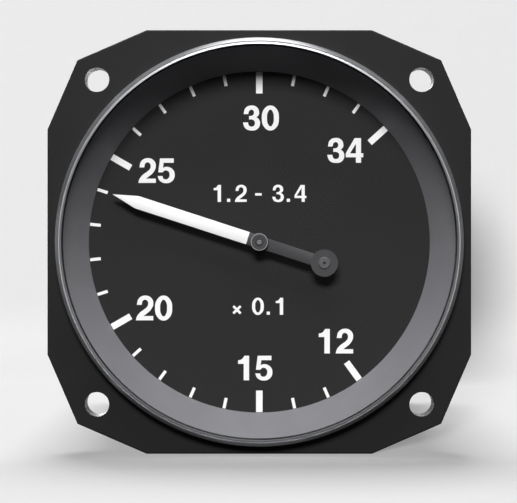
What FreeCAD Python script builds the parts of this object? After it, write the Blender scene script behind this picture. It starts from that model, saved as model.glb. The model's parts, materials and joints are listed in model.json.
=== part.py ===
"""Engine pressure ratio indicator for an aircraft panel, as a bench-strippable assembly.

The instrument's axis is Y. Its dial faces -Y, +X is to the right of the dial and +Z is up.
The origin is on the axis, in the rear face of the mounting flange, where the panel seats.
Lengths are in millimetres and angles in degrees.
"""
import FreeCAD, Part
import math
import os
import Sketcher

# The driving dimensions: cell alias, value and what it is
SIZES = (
    ("hole_spacing", 62.87, "mounting holes, centre to centre"),
    ("case_to_hole", 5.2558, "case to the hole centres, along the diagonal"),
    ("flange_margin", 1.8, "flange past the case on each side"),
    ("flat_inset", 19.2, "side of the flange cut back at each end"),
    ("corner_margin", 3.765, "flange corner past the hole, along X and along Z"),
    ("flange_thick", 5.5, "flange plate"),
    ("flange_edge", 0.25, "chamfer round the front edge"),
    ("hole_radius", 2.4, "mounting hole"),
    ("bush_wall", 0.9, "steel bush pressed into each mounting hole"),
    ("bush_skin", 0.8, "flange skin left in front of each bush"),
    ("rim_margin", 0.15, "rim past the case, along the radius"),
    ("ring_stand", 3.1, "rim height in front of the flange"),
    ("skirt_step", 0.2, "threaded skirt inside the rim, along the radius"),
    ("skirt_depth", 2.3, "how far the skirt goes into the flange"),
    ("skirt_play", 0.05, "thread clearance, along the radius"),
    ("rim_band", 1.35, "front of the rim, along the radius"),
    ("ring_lip", 0.5, "lip thickness"),
    ("bevel_width", 0.75, "bevel of the rim, along the radius"),
    ("bevel_depth", 1.2, "bevel of the rim, along the axis"),
    ("line_width", 0.15, "fine groove between bevel and lip"),
    ("line_depth", 0.25, "depth of that groove"),
    ("glass_bite", 0.35, "glass behind the rim's lip"),
    ("glass_thick", 2.0, "window glass"),
    ("seal_thick", 0.4, "rubber ring behind the glass"),
    ("seal_width", 0.4, "rubber ring behind the glass, along the radius"),
    ("stack_play", 0.1, "glass, surround and dial to the bores round them"),
    ("surround_run", 4.25, "sloping surround, along the radius"),
    ("surround_wall", 0.9, "its wall"),
    ("dial_edge", 1.7, "dial behind the surround, along the radius"),
    ("dial_thick", 1.0, "dial disc"),
    ("dial_depth", 6.5, "dial face behind the flange's front face"),
    ("dial_hole", 1.7, "hole for the pointer shaft"),
    ("dial_ledge", 1.4, "ledge behind the dial's edge"),
    ("dial_pin", 0.5, "pin that stops the dial turning, radius"),
    ("dial_pin_length", 1.8, "hole for that pin, depth behind the dial"),
    ("collar_play", 0.1, "collars to the inside of the case"),
    ("collar_length", 8.0, "collar length"),
    ("case_wall", 1.0, "case tube"),
    ("groove_depth", 1.2, "groove for a sealing ring"),
    ("groove_width", 1.4, "groove for a sealing ring"),
    ("groove_edge", 1.2, "collar left beside that groove"),
    ("ring_play", 0.05, "sealing ring to its groove and to the case"),
    ("reading_step", 12.0, "degrees of dial for one unit of reading"),
    ("top_reading", 30.0, "reading at the top of the dial"),
    ("shown_reading", 24.0, "reading at rest"),
    ("low_reading", 12.0, "lowest reading"),
    ("high_reading", 34.0, "highest reading"),
    ("pointer_gap", 1.9, "air between dial and pointer"),
    ("pointer_thick", 0.5, "pointer strip"),
    ("pointer_short", 3.4, "pointer tip to the edge of the visible dial"),
    ("pointer_taper", 5.0, "tapered end of the pointer"),
    ("pointer_width", 2.5, "pointer strip, blade"),
    ("tail_width", 2.35, "pointer strip, tail"),
    ("tail_reach", 13.4, "centre of the balance disc from the axis"),
    ("disc_radius", 2.66, "balance disc"),
    ("disc_thick", 0.6, "balance disc"),
    ("rivet_radius", 1.25, "rivet head on the balance disc"),
    ("rivet_head", 0.25, "rivet head height"),
    ("rivet_shank", 0.6, "rivet shank, radius"),
    ("rivet_dimple", 0.35, "dimple in the rivet head, radius"),
    ("hub_radius", 1.77, "front boss of the pointer hub"),
    ("hub_front", 0.8, "front boss of the pointer hub, length"),
    ("hub_neck", 1.05, "hub neck through the strip, radius"),
    ("hub_neck_length", 1.6, "hub neck from the strip's front face"),
    ("shaft_tip", 0.75, "front end of the pointer shaft, radius"),
    ("tip_proud", 0.2, "shaft end in front of the hub"),
    ("shaft_radius", 1.2, "pointer shaft and servo motor shaft"),
    ("shaft_bush", 3.0, "pointer bearing bush"),
    ("bush_proud", 0.25, "bush standing out of its plate"),
    ("shaft_end_gap", 0.4, "arbors end this far inside the plates"),
    ("run_gap", 0.04, "running clearance, along the radius"),
    ("fit_gap", 0.03, "clearance of a fixed fit, along the radius"),
    ("end_chamfer", 0.3, "chamfers on shaft ends and hub"),
    ("gear_margin", 4.25, "synchro gear's tips to the edge of the plates"),
    ("tooth_thinning", 0.05, "backlash cut on each tooth"),
    ("gear_teeth", 44.0, "teeth of the large gears"),
    ("pinion_teeth", 16.0, "teeth of the pinions"),
    ("gear_width", 2.0, "face of the large gears"),
    ("gear_hub", 3.0, "hub radius of the large gears"),
    ("hub_length", 1.6, "hub length behind a large gear"),
    ("pinion_overlap", 0.6, "pinion face past each side of its gear"),
    ("stop_room", 1.15, "stop sector to the first pair of gears"),
    ("mesh_gap", 0.4, "hubs of the first gears to the second pair"),
    ("idler_angle", 30.0, "idler axis, seen from the pointer axis"),
    ("motor_angle", -70.0, "motor axis, seen from the idler axis"),
    ("idler_shaft", 1.0, "idler arbor"),
    ("idler_bush", 2.5, "idler bearing bush"),
    ("stop_radius", 9.6, "stop sector"),
    ("stop_thick", 1.2, "stop sector"),
    ("stop_margin", 2.0, "degrees past each end of the scale before the stop"),
    ("stop_gap", 0.4, "front bearing to the stop sector"),
    ("post_radius", 1.25, "stop post"),
    ("post_circle", 7.6, "stop post from the axis"),
    ("plate_play", 0.5, "movement plates to the inside of the case"),
    ("plate_thick", 2.0, "front plate"),
    ("middle_thick", 3.0, "middle plate"),
    ("gear_room", 1.4, "hub of the second gear to the middle plate"),
    ("window_radius", 5.2, "lightening holes in the front plate"),
    ("window_shift", 0.5, "lightening holes past the synchro axis"),
    ("pillar_inset", 6.73, "pillars from the edge of the plates"),
    ("pillar_radius", 2.5, "pillars"),
    ("stud_radius", 1.2, "studs and cover screws"),
    ("stud_bore", 7.0, "tapped hole in a pillar, depth"),
    ("stud_bite", 5.5, "stud length inside a tapped hole"),
    ("board_gap", 3.0, "synchro's end cap to the circuit board"),
    ("board_room", 18.4, "circuit board to the rear cover"),
    ("synchro_edge", 2.2, "synchro housing to the edge of the plates"),
    ("synchro_wall", 4.5, "synchro housing"),
    ("synchro_length", 42.0, "synchro housing behind the middle plate"),
    ("synchro_shaft", 1.5, "synchro rotor shaft"),
    ("synchro_register", 8.0, "synchro register in the middle plate"),
    ("motor_step", 4.0, "synchro radius less servo motor radius"),
    ("motor_wall", 2.9, "servo motor housing"),
    ("motor_length", 36.0, "servo motor housing behind the middle plate"),
    ("motor_register", 5.0, "motor register in the middle plate"),
    ("core_gap", 0.8, "rotor core to the inside of its housing"),
    ("core_end_gap", 2.0, "rotor core to the ends of its housing"),
    ("register_depth", 2.0, "register inside the middle plate"),
    ("shaft_room", 0.8, "plate hole round a passing shaft, along the radius"),
    ("front_wall", 4.0, "front wall of synchro and motor"),
    ("cap_thick", 2.0, "end cap of synchro and motor"),
    ("cap_plug", 3.0, "end cap's plug inside the housing"),
    ("rear_journal", 2.0, "rotor shaft inside the end cap"),
    ("clamp_groove", 0.9, "depth of the clamping groove"),
    ("clamp_start", 1.4, "plate to the clamping groove"),
    ("clamp_span", 1.6, "width of the clamping groove"),
    ("clamp_length", 4.4, "clamp, along the radius"),
    ("clamp_width", 4.0, "clamp"),
    ("clamp_play", 0.1, "clamp to the groove"),
    ("clamp_hole", 2.7, "clamp screw from the clamp's inner end"),
    ("motor_clamp_angle", 75.0, "first motor clamp"),
    ("small_screw", 0.8, "clamp and front plate screws, shank"),
    ("small_head", 1.5, "clamp and front plate screws, head"),
    ("small_head_height", 1.2, "clamp and front plate screws, head"),
    ("clamp_bite", 2.4, "clamp screw in the middle plate"),
    ("plate_bite", 3.6, "front plate screw in the flange collar"),
    ("tap_play", 0.05, "screw to its hole, along the radius"),
    ("tap_end", 0.3, "tapped hole past the end of its screw"),
    ("board_play", 3.2, "circuit board to the inside of the case"),
    ("board_thick", 1.6, "circuit board"),
    ("core_inset", 18.0, "transformer centre from the edge of the board"),
    ("core_width", 19.0, "transformer laminations along X"),
    ("core_height", 17.0, "transformer laminations along Z"),
    ("core_stack", 8.0, "lamination stack"),
    ("core_leg", 5.0, "centre leg"),
    ("core_limb", 3.0, "outer limbs and yokes"),
    ("coil_build", 2.6, "winding thickness"),
    ("coil_play", 0.1, "winding to the laminations"),
    ("capacitor_radius", 4.0, "filter capacitor"),
    ("capacitor_length", 12.0, "filter capacitor"),
    ("can_pitch", 10.0, "power transistors to filter capacitors along X"),
    ("can_radius", 4.0, "power transistor can"),
    ("can_height", 6.4, "power transistor can"),
    ("brim_width", 0.5, "brim of the can, along the radius"),
    ("brim_height", 0.6, "brim of the can"),
    ("can_inset", 10.0, "power transistors from the edge of the board"),
    ("part_z", 8.0, "capacitors and transistors, from the axis along Z"),
    ("resistor_radius", 1.3, "resistor"),
    ("resistor_length", 8.0, "resistor"),
    ("resistor_first", 15.5, "innermost resistor along Z"),
    ("resistor_pitch", 3.8, "between resistors"),
    ("resistor_inset", 8.4, "resistors from the pillars along X"),
    ("block_gap", 3.5, "terminal block to the resistors"),
    ("block_depth", 5.0, "terminal block along Z"),
    ("block_height", 6.0, "terminal block"),
    ("block_z", -19.0, "terminal block along Z"),
    ("cover_thick", 2.5, "rear cover plate"),
    ("cover_collar", 3.8, "collar of the rear cover inside the case"),
    ("cover_wall", 2.5, "its wall"),
    ("cover_hole", 10.2, "hole for the connector"),
    ("cover_head", 2.3, "rear cover screw head"),
    ("cover_head_height", 1.7, "rear cover screw head"),
    ("gasket_thick", 0.6, "gasket under the connector"),
    ("connector_square", 26.0, "connector flange"),
    ("connector_plate", 2.0, "connector flange"),
    ("connector_spacing", 20.6, "connector screws, centre to centre"),
    ("connector_screw", 1.25, "connector screw shank"),
    ("connector_bite", 2.2, "connector screw in the rear cover"),
    ("connector_head", 2.2, "connector screw head"),
    ("connector_head_height", 1.4, "connector screw head"),
    ("shell_radius", 10.5, "connector shell, outside"),
    ("shell_bore", 9.0, "connector shell, inside"),
    ("shell_length", 12.4, "connector shell behind its flange"),
    ("shell_tail_radius", 10.0, "connector shell inside the case"),
    ("shell_tail", 7.0, "connector shell inside the case"),
    ("key_width", 2.0, "key rib in the connector shell"),
    ("key_height", 1.0, "key rib in the connector shell"),
    ("insert_start", 2.0, "insert behind the shell's inner end"),
    ("insert_length", 10.0, "connector insert"),
    ("pin_radius", 0.8, "connector pin"),
    ("pin_circle", 4.6, "circle of the six outer pins"),
    ("pin_proud", 4.9, "pin behind the insert"),
    ("pin_tail", 3.0, "solder end in front of the insert"),
    ("loom_radius", 1.6, "wire loom"),
    ("loom_straight", 0.25, "straight run at each end of the loom"),
)


class Size:
    """A number that carries the sheet formula it was worked out from."""

    def __init__(self, number, formula=None):
        self.number = float(number)
        self.formula = formula or repr(self.number)

    def __float__(self):
        return self.number

    def combined(self, other, sign, number):
        return Size(number, f"({self.formula} {sign} {size(other).formula})")

    def __add__(self, other):
        return self.combined(other, "+", self.number + float(other))

    def __sub__(self, other):
        return self.combined(other, "-", self.number - float(other))

    def __mul__(self, other):
        return self.combined(other, "*", self.number * float(other))

    def __truediv__(self, other):
        return self.combined(other, "/", self.number / float(other))

    def __neg__(self):
        return self * -1


def size(value):
    return value if isinstance(value, Size) else Size(value)


def cosine(angle):
    return Size(math.cos(math.radians(float(angle))), f"cos({angle.formula})")


def sine(angle):
    return Size(math.sin(math.radians(float(angle))), f"sin({angle.formula})")


def arcsine(ratio):
    return Size(math.degrees(math.asin(float(ratio))), f"(asin({ratio.formula}) / 1 deg)")


doc = FreeCAD.newDocument("pressure_ratio_indicator")
sheet = doc.addObject("Spreadsheet::Sheet", "sizes")
for row, (alias, value, meaning) in enumerate(SIZES, start=1):
    sheet.set(f"A{row}", alias)
    sheet.set(f"B{row}", str(value))
    sheet.set(f"C{row}", meaning)
    sheet.setAlias(f"B{row}", alias)
doc.recompute()
D = {alias: Size(value, f"sizes.{alias}") for alias, value, meaning in SIZES}
ZERO = Size(0)
HALF_TURN = Size(180)
sub_parts = []


def corners(offset):
    return ((offset, offset), (-offset, offset), (-offset, -offset), (offset, -offset))


def round_spots(x, z, reach, first, count):
    """Spots evenly round an axis, from the direction of the first."""
    turns = [first + 360 / count * i for i in range(count)]
    return [(x + reach * cosine(turn), z + reach * sine(turn)) for turn in turns]


# The hole pattern sets the case, and the case sets the flange, the rim, the glass and the dial
diagonal = cosine(Size(45))
case_radius = D["hole_spacing"] * diagonal - D["case_to_hole"]
case_bore = case_radius - D["case_wall"]
flange_width = (case_radius + D["flange_margin"]) * 2
flange_flat = flange_width - D["flat_inset"] * 2
corner_reach = D["hole_spacing"] / 2 + D["corner_margin"]
ring_radius = case_radius + D["rim_margin"]
skirt_radius = ring_radius - D["skirt_step"]
ring_window = ring_radius - D["rim_band"]
glass_radius = ring_window + D["glass_bite"]
surround_front = glass_radius - D["seal_width"]
dial_window = surround_front - D["surround_run"]
dial_radius = dial_window + D["dial_edge"]
pointer_reach = dial_window - D["pointer_short"]
pointer_shoulder = pointer_reach - D["pointer_taper"]

# The inside of the case sets the plates, and they set the gears, synchro, motor and board
collar_radius = case_bore - D["collar_play"]
plate_radius = case_bore - D["plate_play"]
board_radius = case_bore - D["board_play"]
pillar_offset = (plate_radius - D["pillar_inset"]) * diagonal
tooth_size = (plate_radius - D["gear_margin"]) / (D["gear_teeth"] * 1.5 + 0.9)
wheel_pitch = tooth_size * D["gear_teeth"] / 2
synchro_radius = plate_radius - wheel_pitch * 2 - D["synchro_edge"]
synchro_core = synchro_radius - D["synchro_wall"] - D["core_gap"]
motor_radius = synchro_radius - D["motor_step"]
motor_core = motor_radius - D["motor_wall"] - D["core_gap"]
window_circle = wheel_pitch * 2 + D["window_shift"]
can_x = board_radius - D["can_inset"]
capacitor_x = can_x - D["can_pitch"]
core_place = D["core_inset"] - board_radius
resistor_x = pillar_offset - D["resistor_inset"]
block_width = (resistor_x - D["resistor_length"] / 2 - D["block_gap"]) * 2

# Places along the axis, from front to back
flange_front = -D["flange_thick"]
ring_front = flange_front - D["ring_stand"]
glass_front = ring_front + D["ring_lip"]
glass_back = glass_front + D["glass_thick"]
seal_back = glass_back + D["seal_thick"]
skirt_end = flange_front + D["skirt_depth"]
dial_face = flange_front + D["dial_depth"]
dial_back = dial_face + D["dial_thick"]
pointer_back = dial_face - D["pointer_gap"]
pointer_front = pointer_back - D["pointer_thick"]
hub_face = pointer_front - D["hub_front"]
hub_end = pointer_front + D["hub_neck_length"]
plate_front = D["collar_length"]
plate_back = plate_front + D["plate_thick"]
stop_back = plate_back + D["bush_proud"] + D["stop_gap"] + D["stop_thick"]
first_gear = stop_back + D["stop_room"]
second_gear = first_gear + D["gear_width"] + D["hub_length"] + D["mesh_gap"]
middle_front = second_gear + D["gear_width"] + D["hub_length"] + D["gear_room"]
middle_back = middle_front + D["middle_thick"]
clamp_top = middle_back + D["clamp_start"] + D["clamp_span"] - D["clamp_play"]
board_front = middle_back + D["synchro_length"] + D["cap_thick"] + D["board_gap"]
board_back = board_front + D["board_thick"]
cover_inside = board_back + D["board_room"]
cover_outside = cover_inside + D["cover_thick"]
connector_face = cover_outside + D["gasket_thick"]
connector_back = connector_face + D["connector_plate"]
insert_front = connector_face - D["shell_tail"] + D["insert_start"]
insert_back = insert_front + D["insert_length"]

# Radii that several pieces share
dial_pocket = dial_radius + D["stack_play"]
ledge_bore = dial_radius - D["dial_ledge"]
ledge_middle = ledge_bore + D["dial_ledge"] / 2
collar_middle = (ledge_bore + collar_radius) / 2
groove_floor = collar_radius - D["groove_depth"]

# The two faces of the sloping surround are parallel cones
slope = (surround_front - dial_window) / (dial_face - seal_back)
slope_outer = surround_front + D["surround_wall"]
land_end = seal_back + (slope_outer - glass_radius) / slope
pocket_end = seal_back + (slope_outer - dial_radius) / slope

# The pointer is drawn along +X and turned to the reading it shows at rest
rest_angle = (D["top_reading"] - D["shown_reading"]) * D["reading_step"] + 90
middle_reading = (D["low_reading"] + D["high_reading"]) / 2
post_angle = (D["top_reading"] - middle_reading) * D["reading_step"] + 270

# Axes of the gear train
mesh_distance = wheel_pitch + tooth_size * D["pinion_teeth"] / 2
synchro_x = wheel_pitch * -2
idler_x = mesh_distance * cosine(D["idler_angle"])
idler_z = mesh_distance * sine(D["idler_angle"])
motor_x = idler_x + mesh_distance * cosine(D["motor_angle"])
motor_z = idler_z + mesh_distance * sine(D["motor_angle"])

# Where holes, screws, pins and pillars stand
centre = [(ZERO, ZERO)]
dial_pin_spot = [(ZERO, -ledge_middle)]
panel_spots = corners(D["hole_spacing"] / 2)
pillar_spots = corners(pillar_offset)
connector_spots = corners(D["connector_spacing"] / 2)
collar_spots = round_spots(ZERO, ZERO, collar_middle, ZERO, 4)
pin_spots = centre + round_spots(ZERO, ZERO, D["pin_circle"], ZERO, 6)
post_spot = [(D["post_circle"] * cosine(post_angle), D["post_circle"] * sine(post_angle))]
synchro_clamp_start = synchro_radius - D["clamp_groove"] + D["clamp_play"]
motor_clamp_start = motor_radius - D["clamp_groove"] + D["clamp_play"]
clamp_spots = round_spots(synchro_x, ZERO, synchro_clamp_start + D["clamp_hole"], ZERO, 3)
clamp_spots += round_spots(
    motor_x, motor_z, motor_clamp_start + D["clamp_hole"], D["motor_clamp_angle"], 3
)


def new_body(label):
    body = doc.addObject("PartDesign::Body", label)
    body.Label = label
    sub_parts.append(body)
    return body


def new_sketch(body, role, name, at=ZERO):
    """A sketch on an origin plane, moved to its place along that plane's axis."""
    sketch = body.newObject("Sketcher::SketchObject", f"{body.Name}_{name}")
    plane = next(f for f in body.Origin.OriginFeatures if f.Role == role)
    sketch.AttachmentSupport = [(plane, "")]
    sketch.MapMode = "FlatFace"
    offset = -at if role == "XZ_Plane" else at
    sketch.setExpression("AttachmentOffset.Base.z", offset.formula)
    return sketch


def hold(sketch, kind, value, *where):
    """One driving constraint of the sketch, bound to the sheet."""
    index = sketch.addConstraint(Sketcher.Constraint(kind, *where, float(value)))
    sketch.setExpression(f"Constraints[{index}]", size(value).formula)


def hold_point(sketch, geometry, end, x, y):
    hold(sketch, "DistanceX", x, -1, 1, geometry, end)
    hold(sketch, "DistanceY", y, -1, 1, geometry, end)


def vector(x, y):
    return FreeCAD.Vector(float(x), float(y), 0)


def polygon(sketch, points):
    """A closed outline of straight lines through the points."""
    first, count = sketch.GeometryCount, len(points)
    for i, point in enumerate(points):
        sketch.addGeometry(Part.LineSegment(vector(*point), vector(*points[(i + 1) % count])))
    for i, (x, y) in enumerate(points):
        following = first + (i + 1) % count
        sketch.addConstraint(Sketcher.Constraint("Coincident", first + i, 2, following, 1))
        hold_point(sketch, first + i, 1, x, y)


def rectangle(sketch, x, y, width, height):
    """A rectangle by its centre and its two sizes."""
    left, right = x - width / 2, x + width / 2
    low, high = y - height / 2, y + height / 2
    polygon(sketch, ((left, low), (right, low), (right, high), (left, high)))


def circle(sketch, x, y, radius):
    shape = Part.Circle(vector(x, y), FreeCAD.Vector(0, 0, 1), float(radius))
    index = sketch.addGeometry(shape)
    hold_point(sketch, index, 3, x, y)
    hold(sketch, "Radius", radius, index)


def feature_of(body, kind, name, sketch):
    feature = body.newObject(kind, f"{body.Name}_{name}")
    feature.Profile = sketch
    return feature


def raised(body, name, sketch, length):
    """Pads the sketch, towards the front where it lies on the XZ plane."""
    feature = feature_of(body, "PartDesign::Pad", name, sketch)
    feature.setExpression("Length", length.formula)
    doc.recompute()
    return feature


def confirmed(body, feature, before):
    """Recomputes and stops the build when a cut has taken nothing away."""
    doc.recompute()
    if body.Shape.Volume > before - 1e-6:
        raise RuntimeError(f"{feature.Name} cuts nothing")
    return feature


def sunk(body, name, sketch, depth):
    """Pockets the sketch, towards the back where it lies on the XZ plane."""
    before = body.Shape.Volume
    feature = feature_of(body, "PartDesign::Pocket", name, sketch)
    feature.setExpression("Length", depth.formula)
    return confirmed(body, feature, before)


def revolved(body, name, sketch, kind="PartDesign::Revolution"):
    feature = feature_of(body, kind, name, sketch)
    feature.ReferenceAxis = (sketch, ["V_Axis"])
    feature.Angle = 360
    doc.recompute()
    return feature


def turned(body, name, points):
    """A turned piece from points that are (radius, place along the axis)."""
    sketch = new_sketch(body, "XY_Plane", name)
    polygon(sketch, points)
    return revolved(body, f"{name}_turn", sketch)


def bored(body, name, points):
    """A groove or bore turned out of the body, from the same kind of points."""
    before = body.Shape.Volume
    sketch = new_sketch(body, "XY_Plane", name)
    polygon(sketch, points)
    feature = revolved(body, f"{name}_cut", sketch, "PartDesign::Groove")
    return confirmed(body, feature, before)


def repeated(body, features, sketch, count):
    """Repeats features evenly round the sketch's own origin."""
    pattern = body.newObject("PartDesign::PolarPattern", f"{features[0].Name}_round")
    pattern.Originals = features
    pattern.Axis = (sketch, ["N_Axis"])
    pattern.Angle = 360
    pattern.Occurrences = round(float(count))
    pattern.setExpression("Occurrences", count.formula)
    body.Tip = pattern
    doc.recompute()


def placed(body, x=ZERO, z=ZERO, angle=ZERO):
    """Moves a body to its own axis and turns it there, counter-clockwise as the dial is read."""
    rotation = FreeCAD.Rotation(FreeCAD.Vector(0, 1, 0), -float(angle))
    body.Placement = FreeCAD.Placement(FreeCAD.Vector(float(x), 0, float(z)), rotation)
    body.setExpression("Placement.Base.x", x.formula)
    body.setExpression("Placement.Base.z", z.formula)
    if angle is not ZERO:
        body.setExpression("Placement.Rotation.Angle", (-angle).formula)


def rods(body, name, spots, radius, front, back, bore=None):
    """Round bars, or tubes where a bore is given, at the spots from front to back."""
    sketch = new_sketch(body, "XZ_Plane", name, back)
    for x, z in spots:
        circle(sketch, x, z, radius)
        if bore is not None:
            circle(sketch, x, z, bore)
    return raised(body, f"{name}_pad", sketch, back - front)


def holes(body, name, spots, radius, front, depth):
    """Round holes at the spots, from front towards the back."""
    sketch = new_sketch(body, "XZ_Plane", name, front)
    for x, z in spots:
        circle(sketch, x, z, radius)
    return sunk(body, f"{name}_cut", sketch, depth)


def disc(label, radius, front, back, bore=None):
    """A flat round plate, with or without a central hole."""
    body = new_body(label)
    rods(body, "plate", centre, radius, front, back, bore)
    return body


# Front of the instrument


def mounting_flange():
    """Twelve-sided plate, the collar for the case, and the stepped bore for dial and window."""
    body = new_body("mounting_flange")
    half, flat, reach = flange_width / 2, flange_flat / 2, corner_reach
    quarter = ((flat, half), (reach, reach), (half, flat))
    outline = [(x, z) for x, z in quarter]
    outline += [(x, -z) for x, z in reversed(quarter)]
    outline += [(-x, -z) for x, z in quarter]
    outline += [(-x, z) for x, z in reversed(quarter)]
    sketch = new_sketch(body, "XZ_Plane", "outline")
    polygon(sketch, outline)
    plate = raised(body, "plate", sketch, D["flange_thick"])
    front_edges = [
        f"Edge{i}"
        for i, edge in enumerate(plate.Shape.Edges, start=1)
        if all(abs(v.Point.y - float(flange_front)) < 1e-6 for v in edge.Vertexes)
    ]
    bevel = body.newObject("PartDesign::Chamfer", "flange_front_edge")
    bevel.Base = (plate, front_edges)
    bevel.setExpression("Size", D["flange_edge"].formula)
    doc.recompute()
    rods(body, "collar", centre, collar_radius, ZERO, plate_front)
    skirt_bore = skirt_radius + D["skirt_play"]
    bore_step = skirt_end + D["skirt_play"] * 4
    bored(
        body,
        "bore",
        (
            (ZERO, flange_front - 1),
            (skirt_bore, flange_front - 1),
            (skirt_bore, bore_step),
            (slope_outer - (bore_step - seal_back) * slope + D["stack_play"], bore_step),
            (dial_pocket, pocket_end),
            (dial_pocket, dial_back),
            (ledge_bore, dial_back),
            (ledge_bore, plate_front + 1),
            (ZERO, plate_front + 1),
        ),
    )
    bored(body, "seal_groove", groove_outline(D["groove_edge"]))
    holes(body, "panel_holes", panel_spots, D["hole_radius"], flange_front, D["flange_thick"])
    seat = D["hole_radius"] + D["bush_wall"] + D["fit_gap"]
    skin = flange_front + D["bush_skin"]
    holes(body, "bush_seats", panel_spots, seat, skin, D["flange_thick"] - D["bush_skin"])
    depth = D["plate_bite"] + D["tap_end"]
    tap = D["small_screw"] + D["tap_play"]
    holes(body, "taps", collar_spots, tap, plate_front - depth, depth)
    pin_hole = D["dial_pin"] + D["fit_gap"]
    holes(body, "pin_hole", dial_pin_spot, pin_hole, dial_back, D["dial_pin_length"])


def groove_outline(front):
    """The section of a sealing ring's groove, open to the outside of a collar."""
    outside, back = collar_radius + 1, front + D["groove_width"]
    return ((groove_floor, front), (outside, front), (outside, back), (groove_floor, back))


def sealing_ring(label, groove_front):
    """Square-cut rubber ring that lies in a collar's groove."""
    inner = groove_floor + D["ring_play"]
    outer = case_bore - D["ring_play"]
    front = groove_front + D["ring_play"]
    back = groove_front + D["groove_width"] - D["ring_play"]
    outline = ((inner, front), (outer, front), (outer, back), (inner, back))
    turned(new_body(label), "section", outline)


def mounting_bushes():
    body = new_body("mounting_bushes")
    front, outer = flange_front + D["bush_skin"], D["hole_radius"] + D["bush_wall"]
    rods(body, "tubes", panel_spots, outer, front, ZERO, D["hole_radius"])


def rim_ring():
    """Bright threaded ring: bevelled outside, a fine groove, and a lip over the glass."""
    pocket = glass_radius + D["stack_play"]
    bevel_end = ring_radius - D["bevel_width"]
    line_end = bevel_end - D["line_width"]
    turned(
        new_body("rim_ring"),
        "section",
        (
            (skirt_radius, skirt_end),
            (skirt_radius, flange_front),
            (ring_radius, flange_front),
            (ring_radius, ring_front + D["bevel_depth"]),
            (bevel_end, ring_front),
            (bevel_end, ring_front + D["line_depth"]),
            (line_end, ring_front + D["line_depth"]),
            (line_end, ring_front),
            (ring_window, ring_front),
            (ring_window, glass_front),
            (pocket, glass_front),
            (pocket, skirt_end),
        ),
    )


def window_and_surround():
    """Glass, its rubber ring, and the black wall that slopes down to the dial."""
    disc("window_glass", glass_radius, glass_front, glass_back)
    seal_bore = glass_radius - D["seal_width"]
    disc("window_seal", glass_radius, glass_back, seal_back, seal_bore)
    turned(
        new_body("dial_surround"),
        "section",
        (
            (surround_front, seal_back),
            (glass_radius, seal_back),
            (glass_radius, land_end),
            (dial_window + D["surround_wall"], dial_face),
            (dial_window, dial_face),
        ),
    )


def dial():
    """Dial disc and the pin behind it that goes into the flange's ledge."""
    body = disc("dial_plate", dial_radius, dial_face, dial_back, D["dial_hole"])
    clear = D["dial_pin"] + D["fit_gap"]
    holes(body, "pin_notch", dial_pin_spot, clear, dial_face, D["dial_thick"])
    pin = new_body("dial_pin")
    end = dial_back + D["dial_pin_length"] - D["tap_end"]
    rods(pin, "section", dial_pin_spot, D["dial_pin"], dial_face + D["tap_end"], end)


# The pointer


def pointer_arm():
    """One strip: a tapered tip, a parallel blade, and a narrower tail with a round pad."""
    body = new_body("pointer_arm")
    blade, tail = D["pointer_width"] / 2, D["tail_width"] / 2
    end = -D["tail_reach"]
    sketch = new_sketch(body, "XZ_Plane", "strip", pointer_back)
    polygon(
        sketch,
        (
            (end, -tail),
            (ZERO, -tail),
            (ZERO, -blade),
            (pointer_shoulder, -blade),
            (pointer_reach, ZERO),
            (pointer_shoulder, blade),
            (ZERO, blade),
            (ZERO, tail),
            (end, tail),
        ),
    )
    raised(body, "strip_pad", sketch, D["pointer_thick"])
    pad_spot = [(end, ZERO)]
    rods(body, "round_pad", pad_spot, D["disc_radius"], pointer_front, pointer_back)
    hub_hole = D["hub_neck"] + D["fit_gap"]
    holes(body, "hub_hole", centre, hub_hole, pointer_front, D["pointer_thick"])
    rivet_hole = D["rivet_shank"] + D["fit_gap"]
    holes(body, "rivet_hole", pad_spot, rivet_hole, pointer_front, D["pointer_thick"])
    placed(body, angle=rest_angle)


def pointer_hub():
    """Turned hub: a round boss in front of the strip and a neck through it."""
    bore = D["shaft_tip"] + D["fit_gap"]
    edge = D["end_chamfer"]
    turned(
        new_body("pointer_hub"),
        "section",
        (
            (bore, hub_face),
            (D["hub_radius"] - edge, hub_face),
            (D["hub_radius"], hub_face + edge),
            (D["hub_radius"], pointer_front),
            (D["hub_neck"], pointer_front),
            (D["hub_neck"], hub_end),
            (bore, hub_end),
        ),
    )


def balance_weight():
    """Weight in front of the tail's round pad, and the rivet that holds it."""
    along = -D["tail_reach"]
    disc_front = pointer_front - D["disc_thick"]
    body = new_body("balance_disc")
    hole = D["rivet_shank"] + D["fit_gap"]
    rods(body, "disc", [(along, ZERO)], D["disc_radius"], disc_front, pointer_front, hole)
    placed(body, angle=rest_angle)
    rivet = new_body("balance_rivet")
    tail_head = D["rivet_shank"] + D["rivet_head"]
    turned(
        rivet,
        "section",
        (
            (ZERO, disc_front),
            (D["rivet_dimple"], disc_front - D["rivet_head"]),
            (D["rivet_radius"] - D["rivet_head"], disc_front - D["rivet_head"]),
            (D["rivet_radius"], disc_front),
            (D["rivet_shank"], disc_front),
            (D["rivet_shank"], pointer_back),
            (tail_head, pointer_back),
            (tail_head, pointer_back + D["rivet_head"]),
            (ZERO, pointer_back + D["rivet_head"]),
        ),
    )
    placed(rivet, along * cosine(rest_angle), along * sine(rest_angle))


def pointer_shaft():
    """Stepped arbor from the hub to the bearing in the middle plate."""
    tip = hub_face - D["tip_proud"]
    end = middle_back - D["shaft_end_gap"]
    edge = D["end_chamfer"]
    turned(
        new_body("pointer_shaft"),
        "section",
        (
            (ZERO, tip),
            (D["shaft_tip"] - edge, tip),
            (D["shaft_tip"], tip + edge),
            (D["shaft_tip"], hub_end),
            (D["shaft_radius"], hub_end),
            (D["shaft_radius"], end - edge),
            (D["shaft_radius"] - edge, end),
            (ZERO, end),
        ),
    )


# The gear train


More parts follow.
